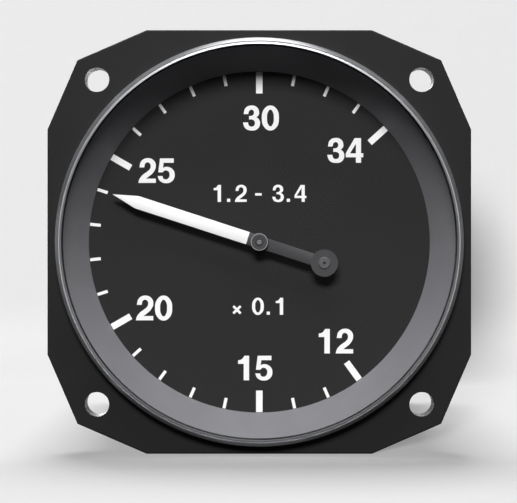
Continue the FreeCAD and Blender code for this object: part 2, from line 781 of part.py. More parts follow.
def tooth_space(teeth, pressure_angle=20.0, points=3):
    """One tooth space about +X: involute flanks by formula, a root, and an open top."""
    module, count = float(tooth_size), round(float(teeth))
    pitch = module * count / 2
    base = pitch * math.cos(math.radians(pressure_angle))
    tip, root = pitch + 0.9 * module, pitch - 1.15 * module
    start = max(base, root)
    half_tooth = math.pi / (2 * count) - float(D["tooth_thinning"]) / (2 * pitch)

    def involute(angle):
        return math.tan(angle) - angle

    def half_space(radius):
        """Half the space's width at a radius, as an angle from its middle."""
        roll = math.acos(min(1.0, base / radius))
        tooth = half_tooth + involute(math.radians(pressure_angle)) - involute(roll)
        return math.pi / count - tooth

    radii = [start + (tip - start) * i / (points - 1) for i in range(points)]
    side = [(radius, half_space(radius)) for radius in radii]
    if root < base:
        side.insert(0, (root, half_space(start)))
    side.append((tip + module, side[-1][1]))
    low = [(r * math.cos(a), -r * math.sin(a)) for r, a in side]
    high = [(r * math.cos(a), r * math.sin(a)) for r, a in reversed(side)]
    return low + high


def gear(label, teeth, front, width, bore, hub_length=None):
    """A spur gear with a tooth space on +X, and where asked a hub behind it."""
    body = new_body(label)
    end = front + width
    tip = tooth_size * (teeth / 2 + 0.9)
    rods(body, "blank", centre, tip, front, end)
    if hub_length is not None:
        rods(body, "hub", centre, D["gear_hub"], end, end + hub_length)
        end = end + hub_length
    space = new_sketch(body, "XZ_Plane", "space", front)
    polygon(space, tooth_space(teeth))
    repeated(body, [sunk(body, "space_cut", space, width)], space, teeth)
    holes(body, "bore", centre, bore + D["fit_gap"], front, end - front)
    return body


def meshed(direction, teeth_from, turn_from, teeth_to):
    """Turn of the next gear that puts one of its tooth spaces over a tooth of the first."""
    shared = (direction - turn_from) * teeth_from / teeth_to
    return direction + HALF_TURN + shared + HALF_TURN / teeth_to


def gear_train():
    """Motor pinion, idler, pointer gear and synchro gear, all in mesh at rest."""
    wheel, pinion = D["gear_teeth"], D["pinion_teeth"]
    width, hub = D["gear_width"], D["hub_length"]
    overlap = D["pinion_overlap"]
    face = width + overlap * 2
    gear("main_gear", wheel, first_gear, width, D["shaft_radius"], hub)
    follower = gear("synchro_gear", wheel, first_gear, width, D["synchro_shaft"], hub)
    placed(follower, synchro_x, ZERO, meshed(HALF_TURN, wheel, ZERO, wheel))
    idler_turn = meshed(D["idler_angle"], wheel, ZERO, pinion)
    small = gear("idler_pinion", pinion, first_gear - overlap, face, D["idler_shaft"])
    placed(small, idler_x, idler_z, idler_turn)
    large = gear("idler_gear", wheel, second_gear, width, D["idler_shaft"], hub)
    placed(large, idler_x, idler_z, idler_turn)
    driver = gear("motor_pinion", pinion, second_gear - overlap, face, D["shaft_radius"])
    placed(driver, motor_x, motor_z, meshed(D["motor_angle"], wheel, idler_turn, pinion))
    arbor = new_body("idler_arbor")
    front, back = plate_front + D["shaft_end_gap"], middle_back - D["shaft_end_gap"]
    rods(arbor, "rod", centre, D["idler_shaft"], front, back)
    placed(arbor, idler_x, idler_z)


def bearing_pair(label, outer, shaft, x, z):
    """Two bushes on one axis, in the front plate and in the middle plate."""
    body = new_body(label)
    bore = shaft + D["run_gap"]
    rods(body, "front", centre, outer, plate_front, plate_back + D["bush_proud"], bore)
    rods(body, "rear", centre, outer, middle_front - D["bush_proud"], middle_back, bore)
    placed(body, x, z)


def stops():
    """Sector on the pointer shaft and fixed post that end its travel just past the scale."""
    travel = (D["high_reading"] - D["low_reading"]) * D["reading_step"]
    post_half = arcsine(D["post_radius"] / D["post_circle"])
    sector_half = HALF_TURN - travel / 2 - D["stop_margin"] - post_half
    front = stop_back - D["stop_thick"]
    sector = new_body("stop_sector")
    rods(sector, "blank", centre, D["stop_radius"], front, stop_back)
    far = D["stop_radius"] * 1.5
    edge_x, edge_z = far * cosine(sector_half), far * sine(sector_half)
    waste = new_sketch(sector, "XZ_Plane", "waste", front)
    polygon(
        waste,
        ((ZERO, ZERO), (edge_x, edge_z), (-far, far), (-far, -far), (edge_x, -edge_z)),
    )
    sunk(sector, "waste_cut", waste, D["stop_thick"])
    rods(sector, "boss", centre, D["shaft_bush"], front, stop_back)
    holes(sector, "bore", centre, D["shaft_radius"] + D["fit_gap"], front, D["stop_thick"])
    placed(sector, angle=rest_angle)
    post = new_body("stop_post")
    post_back = first_gear - D["pinion_overlap"]
    rods(post, "rod", post_spot, D["post_radius"], plate_front, post_back)


# The plates and pillars that carry the movement


def plates():
    """Front and middle plates with every hole that a bush, stud, screw or register needs."""
    fit = D["fit_gap"]
    screw = D["small_screw"] + D["tap_play"]
    idler_spot = [(idler_x, idler_z)]
    shared = (
        ("pointer_bore", centre, D["shaft_bush"] + fit),
        ("idler_bore", idler_spot, D["idler_bush"] + fit),
        ("stud_bores", pillar_spots, D["stud_radius"] + fit),
    )
    front_only = (
        ("post_bore", post_spot, D["post_radius"] + fit),
        ("screw_bores", collar_spots, screw),
        ("windows", round_spots(ZERO, ZERO, window_circle, ZERO, 4), D["window_radius"]),
    )
    front = disc("front_plate", plate_radius, plate_front, plate_back)
    for name, spots, radius in shared + front_only:
        holes(front, name, spots, radius, plate_front, D["plate_thick"])
    middle = disc("middle_plate", plate_radius, middle_front, middle_back)
    for name, spots, radius in shared:
        holes(middle, name, spots, radius, middle_front, D["middle_thick"])
    depth = D["register_depth"]
    registers = (
        ("synchro", synchro_x, ZERO, D["synchro_register"], D["synchro_shaft"]),
        ("motor", motor_x, motor_z, D["motor_register"], D["shaft_radius"]),
    )
    for name, x, z, register, shaft in registers:
        spot = [(x, z)]
        holes(middle, f"{name}_register", spot, register + fit, middle_back - depth, depth)
        room = shaft + D["shaft_room"]
        holes(middle, f"{name}_pass", spot, room, middle_front, D["middle_thick"] - depth)
    depth = D["clamp_bite"] + D["tap_end"]
    holes(middle, "clamp_taps", clamp_spots, screw, middle_back - depth, depth)


def screws(label, spots, shank, bite, head, head_height, seat):
    """Identical screws put in from the back: shank in front of the seat, head behind it."""
    body = new_body(label)
    rods(body, "shanks", spots, shank, seat - bite, seat)
    rods(body, "heads", spots, head, seat, seat + head_height)


def pillars(label, front, back, stud_front):
    """Four posts with a stud in front and, in the rear end, a tapped hole for the next stud."""
    body = new_body(label)
    rods(body, "studs", pillar_spots, D["stud_radius"], stud_front, front)
    rods(body, "posts", pillar_spots, D["pillar_radius"], front, back)
    bore = D["stud_radius"] + D["tap_play"]
    holes(body, "taps", pillar_spots, bore, back - D["stud_bore"], D["stud_bore"])


def frame():
    """Plates, pillars, bearings and the small screws."""
    plates()
    bite = D["stud_bite"]
    pillars("gear_pillars", plate_back, middle_front, plate_front)
    pillars("long_pillars", middle_back, board_front, middle_front - bite)
    pillars("cover_pillars", board_back, cover_inside, board_front - bite)
    bearing_pair("pointer_bearings", D["shaft_bush"], D["shaft_radius"], ZERO, ZERO)
    bearing_pair("idler_bearings", D["idler_bush"], D["idler_shaft"], idler_x, idler_z)
    small = (D["small_head"], D["small_head_height"])
    bite = D["plate_thick"] + D["plate_bite"]
    screws("front_plate_screws", collar_spots, D["small_screw"], bite, *small, plate_back)
    bite = clamp_top - middle_back + D["clamp_bite"]
    screws("clamp_screws", clamp_spots, D["small_screw"], bite, *small, clamp_top)


# The synchro and the servo motor


def rotating_machine(name, x, z, radius, length, shaft, core, register, shaft_front):
    """Housing with a register and a clamping groove, its end cap, and the rotor inside."""
    front, back = middle_back, middle_back + length
    bore = core + D["core_gap"]
    shaft_bore = shaft + D["run_gap"]
    groove = radius - D["clamp_groove"]
    groove_front = front + D["clamp_start"]
    groove_back = groove_front + D["clamp_span"]
    inside = front + D["front_wall"]
    housing = new_body(f"{name}_housing")
    turned(
        housing,
        "section",
        (
            (shaft_bore, front - D["register_depth"]),
            (register, front - D["register_depth"]),
            (register, front),
            (radius, front),
            (radius, groove_front),
            (groove, groove_front),
            (groove, groove_back),
            (radius, groove_back),
            (radius, back),
            (bore, back),
            (bore, inside),
            (shaft_bore, inside),
        ),
    )
    placed(housing, x, z)
    plug_front = back - D["cap_plug"]
    shaft_back = plug_front + D["rear_journal"]
    plug = bore - D["fit_gap"]
    cap = new_body(f"{name}_cap")
    turned(
        cap,
        "section",
        (
            (shaft_bore, plug_front),
            (plug, plug_front),
            (plug, back),
            (radius, back),
            (radius, back + D["cap_thick"]),
            (ZERO, back + D["cap_thick"]),
            (ZERO, shaft_back + D["shaft_end_gap"]),
            (shaft_bore, shaft_back + D["shaft_end_gap"]),
        ),
    )
    placed(cap, x, z)
    core_front, core_back = inside + D["core_end_gap"], plug_front - D["core_end_gap"]
    rotor = new_body(f"{name}_rotor")
    turned(
        rotor,
        "section",
        (
            (ZERO, shaft_front),
            (shaft, shaft_front),
            (shaft, core_front),
            (core, core_front),
            (core, core_back),
            (shaft, core_back),
            (shaft, shaft_back),
            (ZERO, shaft_back),
        ),
    )
    placed(rotor, x, z)


def clamps(label, start, radius, x, z, first_angle):
    """Three stepped cleats: the foot stands on the plate and the lip reaches into the groove."""
    body = new_body(label)
    end = start + D["clamp_length"]
    foot = radius + D["clamp_play"]
    foot_back = middle_back + D["clamp_start"] + D["clamp_play"]
    lip = new_sketch(body, "XZ_Plane", "lip", clamp_top)
    rectangle(lip, (start + end) / 2, ZERO, end - start, D["clamp_width"])
    lip_pad = raised(body, "lip_pad", lip, clamp_top - foot_back)
    base = new_sketch(body, "XZ_Plane", "foot", foot_back)
    rectangle(base, (foot + end) / 2, ZERO, end - foot, D["clamp_width"])
    foot_pad = raised(body, "foot_pad", base, foot_back - middle_back)
    spot = [(start + D["clamp_hole"], ZERO)]
    bore = D["small_screw"] + D["tap_play"]
    hole = holes(body, "screw_hole", spot, bore, middle_back, clamp_top - middle_back)
    repeated(body, [lip_pad, foot_pad, hole], lip, Size(3))
    placed(body, x, z, first_angle)


def machines():
    """The synchro that follows the pointer and the motor that drives it, each on three clamps."""
    overlap = D["pinion_overlap"]
    rotating_machine(
        "synchro",
        synchro_x,
        ZERO,
        synchro_radius,
        D["synchro_length"],
        D["synchro_shaft"],
        synchro_core,
        D["synchro_register"],
        first_gear - overlap,
    )
    rotating_machine(
        "motor",
        motor_x,
        motor_z,
        motor_radius,
        D["motor_length"],
        D["shaft_radius"],
        motor_core,
        D["motor_register"],
        second_gear - overlap * 2,
    )
    clamps("synchro_clamps", synchro_clamp_start, synchro_radius, synchro_x, ZERO, ZERO)
    angle = D["motor_clamp_angle"]
    clamps("motor_clamps", motor_clamp_start, motor_radius, motor_x, motor_z, angle)


# The amplifier board


def board():
    """Round board on the long pillars, with the parts that stand on its rear face."""
    body = disc("circuit_board", board_radius, board_front, board_back)
    stud = D["stud_radius"] + D["fit_gap"]
    holes(body, "stud_bores", pillar_spots, stud, board_front, D["board_thick"])
    transformer()
    transistors = new_body("power_transistors")
    spots = [(can_x, D["part_z"]), (can_x, -D["part_z"])]
    brim, brim_back = D["can_radius"] + D["brim_width"], board_back + D["brim_height"]
    rods(transistors, "brims", spots, brim, board_back, brim_back)
    rods(transistors, "cans", spots, D["can_radius"], brim_back, board_back + D["can_height"])
    capacitors = new_body("filter_capacitors")
    spots = [(capacitor_x, D["part_z"]), (capacitor_x, -D["part_z"])]
    top = board_back + D["capacitor_length"]
    rods(capacitors, "sleeves", spots, D["capacitor_radius"], board_back, top)
    resistors = new_body("resistors")
    radius = D["resistor_radius"]
    rows = new_sketch(resistors, "YZ_Plane", "ends", resistor_x - D["resistor_length"] / 2)
    for step in range(3):
        height = D["resistor_first"] + D["resistor_pitch"] * step
        circle(rows, board_back + radius, height, radius)
        circle(rows, board_back + radius, -height, radius)
    raised(resistors, "rods", rows, D["resistor_length"])
    block = new_body("terminal_block")
    sketch = new_sketch(block, "XZ_Plane", "outline", board_back + D["block_height"])
    rectangle(sketch, ZERO, D["block_z"], block_width, D["block_depth"])
    raised(block, "box", sketch, D["block_height"])


def transformer():
    """Laminated core with two windows, and the winding round its centre leg."""
    x, play = core_place, D["coil_play"]
    core_front = board_back + D["coil_build"] + play
    core = new_body("transformer_core")
    outline = new_sketch(core, "XZ_Plane", "outline", core_front + D["core_stack"])
    rectangle(outline, x, ZERO, D["core_width"], D["core_height"])
    raised(core, "stack", outline, D["core_stack"])
    gap = (D["core_width"] - D["core_leg"] - D["core_limb"] * 2) / 2
    reach = (D["core_leg"] + gap) / 2
    window_height = D["core_height"] - D["core_limb"] * 2
    windows = new_sketch(core, "XZ_Plane", "windows", core_front)
    rectangle(windows, x - reach, ZERO, gap, window_height)
    rectangle(windows, x + reach, ZERO, gap, window_height)
    sunk(core, "windows_cut", windows, D["core_stack"])
    coil = new_body("transformer_coil")
    height = window_height - play * 2
    turns = new_sketch(coil, "XY_Plane", "turns", height / -2)
    middle = core_front + D["core_stack"] / 2
    hole_x, hole_y = D["core_leg"] + play * 2, D["core_stack"] + play * 2
    rectangle(turns, x, middle, hole_x + D["coil_build"] * 2, hole_y + D["coil_build"] * 2)
    rectangle(turns, x, middle, hole_x, hole_y)
    raised(coil, "winding", turns, height)


# The case, its rear cover and the connector


def case_and_cover():
    """Tube between the flange and the rear cover, a sealing ring at each end, four screws."""
    disc("case_tube", case_radius, ZERO, cover_inside, case_bore)
    sealing_ring("flange_seal", D["groove_edge"])
    cover = disc("rear_cover", case_radius, cover_inside, cover_outside, D["cover_hole"])
    collar_front, collar = cover_inside - D["cover_collar"], collar_radius
    rods(cover, "collar", centre, collar, collar_front, cover_inside, collar - D["cover_wall"])
    groove_front = collar_front + D["groove_edge"]
    bored(cover, "seal_groove", groove_outline(groove_front))
    stud, tap = D["stud_radius"] + D["tap_play"], D["connector_screw"] + D["tap_play"]
    holes(cover, "screw_bores", pillar_spots, stud, cover_inside, D["cover_thick"])
    holes(cover, "connector_taps", connector_spots, tap, cover_inside, D["cover_thick"])
    sealing_ring("cover_seal", groove_front)
    bite = D["cover_thick"] + D["stud_bite"]
    head = (D["cover_head"], D["cover_head_height"])
    screws("cover_screws", pillar_spots, D["stud_radius"], bite, *head, cover_outside)


def square_plate(label, bore, front, back):
    """Square plate with a round bore and the four screw holes of the connector."""
    body = new_body(label)
    sketch = new_sketch(body, "XZ_Plane", "outline", back)
    rectangle(sketch, ZERO, ZERO, D["connector_square"], D["connector_square"])
    circle(sketch, ZERO, ZERO, bore)
    raised(body, "plate", sketch, back - front)
    hole = D["connector_screw"] + D["tap_play"]
    holes(body, "screw_holes", connector_spots, hole, front, back - front)
    return body


def connector():
    """Round receptacle on a square flange: gasket, shell, insert, seven pins and four screws."""
    bore = D["shell_bore"]
    square_plate("connector_gasket", D["cover_hole"], cover_outside, connector_face)
    shell = square_plate("connector_shell", bore, connector_face, connector_back)
    tail_front, barrel_back = connector_face - D["shell_tail"], connector_back + D["shell_length"]
    rods(shell, "tail", centre, D["shell_tail_radius"], tail_front, connector_face, bore)
    rods(shell, "barrel", centre, D["shell_radius"], connector_back, barrel_back, bore)
    key_front = insert_back + D["key_height"]
    key = new_sketch(shell, "XZ_Plane", "key", barrel_back)
    key_top, key_low = (bore + D["shell_radius"]) / 2, bore - D["key_height"]
    rectangle(key, ZERO, (key_low + key_top) / 2, D["key_width"], key_top - key_low)
    raised(shell, "key_pad", key, barrel_back - key_front)
    insert = disc("connector_insert", bore - D["fit_gap"], insert_front, insert_back)
    pin_bore = D["pin_radius"] + D["fit_gap"]
    holes(insert, "pin_bores", pin_spots, pin_bore, insert_front, D["insert_length"])
    pins = new_body("connector_pins")
    front, back = insert_front - D["pin_tail"], insert_back + D["pin_proud"]
    rods(pins, "rods", pin_spots, D["pin_radius"], front, back)
    bite = D["connector_plate"] + D["gasket_thick"] + D["connector_bite"]
    head = (D["connector_head"], D["connector_head_height"])
    screws("connector_screws", connector_spots, D["connector_screw"], bite, *head, connector_back)


def wire_loom():
    """Bundle from the terminal block to the pins' solder ends, swept round two bends."""
    body = new_body("wire_loom")
    start_z = D["block_z"]
    start, end = board_back + D["block_height"], insert_front - D["pin_tail"]
    run = (start + end) / 2
    bend = (end - start) / 2 - D["loom_straight"]
    path = new_sketch(body, "YZ_Plane", "path")
    legs = (
        ((start, start_z), (run - bend, start_z)),
        ((run, start_z + bend), (run, -bend)),
        ((run + bend, ZERO), (end, ZERO)),
    )
    for low, high in legs:
        index = path.addGeometry(Part.LineSegment(vector(*low), vector(*high)))
        hold_point(path, index, 1, *low)
        hold_point(path, index, 2, *high)
    bends = (
        ((run - bend, start_z + bend), -90, 0, (0, 2), (1, 1)),
        ((run + bend, -bend), 90, 180, (2, 1), (1, 2)),
    )
    up = FreeCAD.Vector(0, 0, 1)
    for middle, first, last, start_at, end_at in bends:
        round_path = Part.Circle(vector(*middle), up, float(bend))
        arc = Part.ArcOfCircle(round_path, math.radians(first), math.radians(last))
        index = path.addGeometry(arc)
        path.addConstraint(Sketcher.Constraint("Coincident", index, 1, *start_at))
        path.addConstraint(Sketcher.Constraint("Coincident", index, 2, *end_at))
        hold(path, "Radius", bend, index)
    section = new_sketch(body, "XZ_Plane", "section", start)
    circle(section, ZERO, start_z, D["loom_radius"])
    feature = feature_of(body, "PartDesign::AdditivePipe", "sweep", section)
    feature.Spine = path
    doc.recompute()


mounting_flange()
mounting_bushes()
rim_ring()
window_and_surround()
dial()
pointer_arm()
pointer_hub()
balance_weight()
pointer_shaft()
gear_train()
stops()
frame()
machines()
board()
case_and_cover()
connector()
wire_loom()

# Every sub-part must be sound before any file is written
doc.recompute()
for thing in doc.Objects:
    if "Invalid" in thing.State or "Error" in thing.State:
        raise RuntimeError(f"{thing.Name} did not compute: {thing.State}")
for body in sub_parts:
    if body.Shape.isNull() or not body.Shape.isValid():
        raise RuntimeError(f"{body.Label} has no sound shape")
os.makedirs("parts", exist_ok=True)
for body in sub_parts:
    body.Shape.exportStep(f"parts/{body.Label}.step")
    print(f"{body.Label}: {len(body.Shape.Solids)} solids, {body.Shape.Volume:.1f} mm3")
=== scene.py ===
"""Looks of a pressure ratio indicator: finishes, printing, rim, pointer, rear parts and stage.

Lengths are in metres. The instrument's axis is Y, the dial faces -Y and +Z is up.
"""
import bmesh
import bpy
import json
import math
from mathutils import Matrix, Vector


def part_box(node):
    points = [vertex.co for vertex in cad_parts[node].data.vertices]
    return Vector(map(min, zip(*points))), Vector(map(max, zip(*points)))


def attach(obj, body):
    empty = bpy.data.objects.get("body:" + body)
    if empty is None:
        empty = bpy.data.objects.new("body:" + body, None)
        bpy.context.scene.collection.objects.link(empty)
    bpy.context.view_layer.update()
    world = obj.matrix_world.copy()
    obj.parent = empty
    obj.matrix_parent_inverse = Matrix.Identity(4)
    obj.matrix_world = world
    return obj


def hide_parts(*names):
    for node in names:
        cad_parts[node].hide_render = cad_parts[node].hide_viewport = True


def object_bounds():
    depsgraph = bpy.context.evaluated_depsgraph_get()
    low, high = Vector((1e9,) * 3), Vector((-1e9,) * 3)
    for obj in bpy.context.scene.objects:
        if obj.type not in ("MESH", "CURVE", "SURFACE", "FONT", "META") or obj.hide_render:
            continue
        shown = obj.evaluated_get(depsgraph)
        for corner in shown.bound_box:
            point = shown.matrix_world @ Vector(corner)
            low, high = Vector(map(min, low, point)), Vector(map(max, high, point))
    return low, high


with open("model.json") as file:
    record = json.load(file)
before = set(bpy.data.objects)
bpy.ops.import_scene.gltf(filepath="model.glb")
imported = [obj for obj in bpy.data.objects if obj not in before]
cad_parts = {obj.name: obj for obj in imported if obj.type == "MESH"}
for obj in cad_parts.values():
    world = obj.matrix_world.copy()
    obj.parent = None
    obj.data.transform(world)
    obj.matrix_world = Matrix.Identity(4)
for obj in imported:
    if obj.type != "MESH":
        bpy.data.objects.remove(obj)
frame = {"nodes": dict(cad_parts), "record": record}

bl_info = {
    "name": "Pressure Ratio Indicator",
    "version": (1, 0, 0),
    "blender": (4, 5, 0),
    "location": "View3D > Sidebar > Indicator",
    "description": "Dresses the solids of a panel indicator with its finishes, printing and fine parts",
    "category": "Object",
}

MM = 0.001
TINY = 1e-9
# Sides of a turned piece
STEPS = 192
# Reading that the pointer shows at rest
REST_READING = 24
NODES = frame["nodes"]
RECORD = frame["record"]
CAD_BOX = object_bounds()


def spread(node, pick):
    """The smallest or largest distance of a node's surface from the instrument's axis."""
    return pick(math.hypot(v.co.x, v.co.z) for v in NODES[node].data.vertices)


def front(node):
    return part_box(node)[0].y


def back(node):
    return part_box(node)[1].y


# Sizes and places read from the frame
RIM_RADIUS = spread("rim_ring", max)
RIM_WINDOW = spread("rim_ring", min)
GLASS_RADIUS = spread("window_glass", max)
DIAL_WINDOW = spread("dial_surround", min)
DIAL_FACE = front("dial_plate")
POINTER_FRONT = front("pointer_arm")
POINTER_BACK = back("pointer_arm")
HUB_RADIUS = spread("pointer_hub", max)
HUB_FACE = front("pointer_hub")


def linear(code):
    """An sRGB hex colour as the linear values that shaders take."""
    levels = [int(code[i:i + 2], 16) / 255 for i in (1, 3, 5)]
    return [c / 12.92 if c <= 0.04045 else ((c + 0.055) / 1.055) ** 2.4 for c in levels] + [1.0]


def length(name, description, value):
    return bpy.props.FloatProperty(
        name=name, description=description, default=value, min=0.0, unit="LENGTH", precision=5
    )


def angle(name, description, degrees):
    return bpy.props.FloatProperty(
        name=name, description=description, default=math.radians(degrees), unit="ROTATION"
    )


def paint(name, description, code):
    return bpy.props.FloatVectorProperty(
        name=name, description=description, default=linear(code), size=4, subtype="COLOR"
    )


def share(name, description, value):
    return bpy.props.FloatProperty(name=name, description=description, default=value, min=0.0)


class DialSettings(bpy.types.PropertyGroup):
    """Printing on the dial."""

    degrees: angle("Step", "Turn for one unit of reading", 12.0)
    top: bpy.props.IntProperty(name="Top", description="Reading at the top", default=30)
    lowest: bpy.props.IntProperty(name="Lowest", description="First reading", default=12)
    highest: bpy.props.IntProperty(name="Highest", description="Last reading", default=34)
    main_length: length("Main mark", "Length of a numbered mark", 4.25 * MM)
    main_width: length("Main mark width", "Width of a numbered mark", 1.28 * MM)
    fine_length: length("Fine mark", "Length of a plain mark", 2.1 * MM)
    fine_width: length("Fine mark width", "Width of a plain mark", 0.6 * MM)
    relief: length("Ink", "Height of the printing over the dial", 0.04 * MM)
    numeral: length("Numerals", "Height of the large numerals", 4.85 * MM)
    small_numeral: length("Small numerals", "Height of the small numerals", 3.45 * MM)


class FinishSettings(bpy.types.PropertyGroup):
    """Colours that a user would change."""

    enamel: paint("Flange enamel", "Satin black enamel on the flange", "#242424")
    dial: paint("Dial", "Matt black paint of the dial", "#2C2C2C")
    print_white: paint("Print", "White of the marks and numerals", "#FBFBFA")
    pointer_white: paint("Pointer", "White enamel of the pointer blade", "#FDFDFC")
    pointer_grey: paint("Hub grey", "Dark grey of hub, tail and balance disc", "#3D3D3F")
    rim: paint("Rim", "Turned aluminium of the rim", "#CDCED1")
    surround: paint("Surround", "Satin grey of the sloping surround", "#7E7E82")
    case: paint("Case", "Baked black paint of the case", "#232425")


class StageSettings(bpy.types.PropertyGroup):
    """Floor, lights and camera."""

    backdrop: paint("Backdrop", "Pale floor and wall", "#F0F0F0")
    distance: length("Camera distance", "Camera to the front of the flange", 300 * MM)
    picture: length("Picture width", "Width of the picture at the flange", 100 * MM)
    wall: length("Wall", "Wall behind the rear end", 55 * MM)
    lift: share("Lift", "Share of the paper's tone that shadows keep", 0.33)
    key: share("Key", "Level of the soft light above the front", 1.18)
    low: share("Low", "Level of the light that draws the shadow on the wall", 1.45)
    drop: share("Drop", "Level of the light that draws the shadow on the floor", 1.25)
    top: share("Steep", "Level of the light overhead", 0.6)
    rear: share("Rear", "Level of the light above the rear end", 0.7)
    back: share("Back", "Level of the soft light behind the part", 0.9)
    ambient: share("Ambient", "Level of the world", 0.004)


# Materials


def new_material(name):
    material = bpy.data.materials.new(name)
    material.use_nodes = True
    material.node_tree.nodes.clear()
    return material


def add(material, kind, sockets=None, **settings):
    """Adds a node. Settings are its own properties.

    A socket gets a value, or (node, output) as a link.
    """
    node = material.node_tree.nodes.new(kind)
    for name, value in settings.items():
        setattr(node, name, value)
    for name, value in (sockets or {}).items():
        if isinstance(value, tuple) and isinstance(value[0], bpy.types.Node):
            material.node_tree.links.new(value[0].outputs[value[1]], node.inputs[name])
        else:
            node.inputs[name].default_value = value
    return node


def output(material, shader):
    add(material, "ShaderNodeOutputMaterial", {"Surface": shader})
    return material


def mottled(material, grain, low, high):
    """Noise with features of the size of a grain, as a value from low to high."""
    place = add(material, "ShaderNodeTexCoord")
    noise = add(
        material,
        "ShaderNodeTexNoise",
        {"Vector": (place, "Object"), "Scale": 1 / grain, "Detail": 3.0},
    )
    # Nearly all of the noise lies between 0.3 and 0.7
    return add(
        material,
        "ShaderNodeMapRange",
        {"Value": (noise, "Fac"), "From Min": 0.3, "From Max": 0.7, "To Min": low, "To Max": high},
    )


def turned_lines(material, pitch):
    """Fine lines that a lathe leaves: rings on a face and rings along a round wall."""
    place = add(material, "ShaderNodeTexCoord")
    flat = add(
        material,
        "ShaderNodeVectorMath",
        {0: (place, "Object"), 1: (1, 0, 1)},
        operation="MULTIPLY",
    )
    radius = add(material, "ShaderNodeVectorMath", {0: (flat, "Vector")}, operation="LENGTH")
    along = add(material, "ShaderNodeSeparateXYZ", {"Vector": (place, "Object")})
    way = add(
        material,
        "ShaderNodeMath",
        {0: (radius, "Value"), 1: (along, "Y")},
        operation="ADD",
    )
    phase = add(
        material,
        "ShaderNodeMath",
        {0: (way, "Value"), 1: 2 * math.pi / pitch},
        operation="MULTIPLY",
    )
    return add(material, "ShaderNodeMath", {0: (phase, "Value")}, operation="SINE")


def surface(name, first, second, blotch, grain, roughness, relief, lines=None, **shader):
    """A finish of two close colours in soft blotches, with a grain that moves gloss and height."""
    material = new_material(name)
    tone = mottled(material, blotch, 0.0, 1.0)
    colour = add(
        material,
        "ShaderNodeMix",
        {0: (tone, "Result"), 6: first, 7: second},
        data_type="RGBA",
    )
    gloss = mottled(material, grain, roughness[0], roughness[1])
    height = mottled(material, grain, 0.0, 1.0)
    bump = add(
        material,
        "ShaderNodeBump",
        {"Height": (height, "Result"), "Distance": relief, "Strength": 1.0},
    )
    if lines is not None:
        tool_marks = turned_lines(material, lines[0])
        bump = add(
            material,
            "ShaderNodeBump",
            {"Height": (tool_marks, "Value"), "Distance": lines[1], "Normal": (bump, "Normal")},
        )
    principled = add(
        material,
        "ShaderNodeBsdfPrincipled",
        {
            "Base Color": (colour, 2),
            "Roughness": (gloss, "Result"),
            "Normal": (bump, "Normal"),
            **shader,
        },
    )
    return output(material, (principled, "BSDF"))


def toned(name, colour, factor, blotch, grain, roughness, relief, **more):
    """A finish whose blotches are its own colour, made darker or lighter by a factor."""
    base = list(colour)
    other = [c * factor for c in base[:3]] + [1.0]
    return surface(name, base, other, blotch, grain, roughness, relief, **more)


def window_glass():
    """Flat polished glass: clear, with a faint reflection that grows towards grazing sight."""
    material = new_material("polished_window_glass")
    white = linear("#FFFFFF")
    clear = add(material, "ShaderNodeBsdfTransparent", {"Color": white})
    film = mottled(material, 7 * MM, 0.01, 0.03)
    mirror = add(material, "ShaderNodeBsdfGlossy", {"Color": white, "Roughness": (film, "Result")})
    facing = add(material, "ShaderNodeLayerWeight", {"Blend": 0.5})
    curve = add(material, "ShaderNodeMath", {0: (facing, "Facing"), 1: 5.0}, operation="POWER")
    # Coated glass: it mirrors almost nothing face on, and nearly all at a grazing angle
    amount = add(
        material,
        "ShaderNodeMapRange",
        {"Value": (curve, "Value"), "To Min": 0.004, "To Max": 0.9},
    )
    mixed = add(
        material,
        "ShaderNodeMixShader",
        {0: (amount, "Result"), 1: (clear, "BSDF"), 2: (mirror, "BSDF")},
    )
    return output(material, (mixed, "Shader"))


def metal(name, code, roughness, grain=0.3 * MM, lines=None):
    """A bare metal with the marks of its making in gloss and height."""
    return toned(
        name, linear(code), 0.88, 4 * MM, grain, (roughness, roughness + 0.1), 0.001 * MM,
        lines=lines, Metallic=1.0,
    )


def coated(name, code, other, blotch, grain, roughness, relief):
    """A paint, plastic, rubber or laminate with its own grain."""
    return surface(
        name, linear(code), linear(other), blotch, grain, (roughness, roughness + 0.12), relief
    )


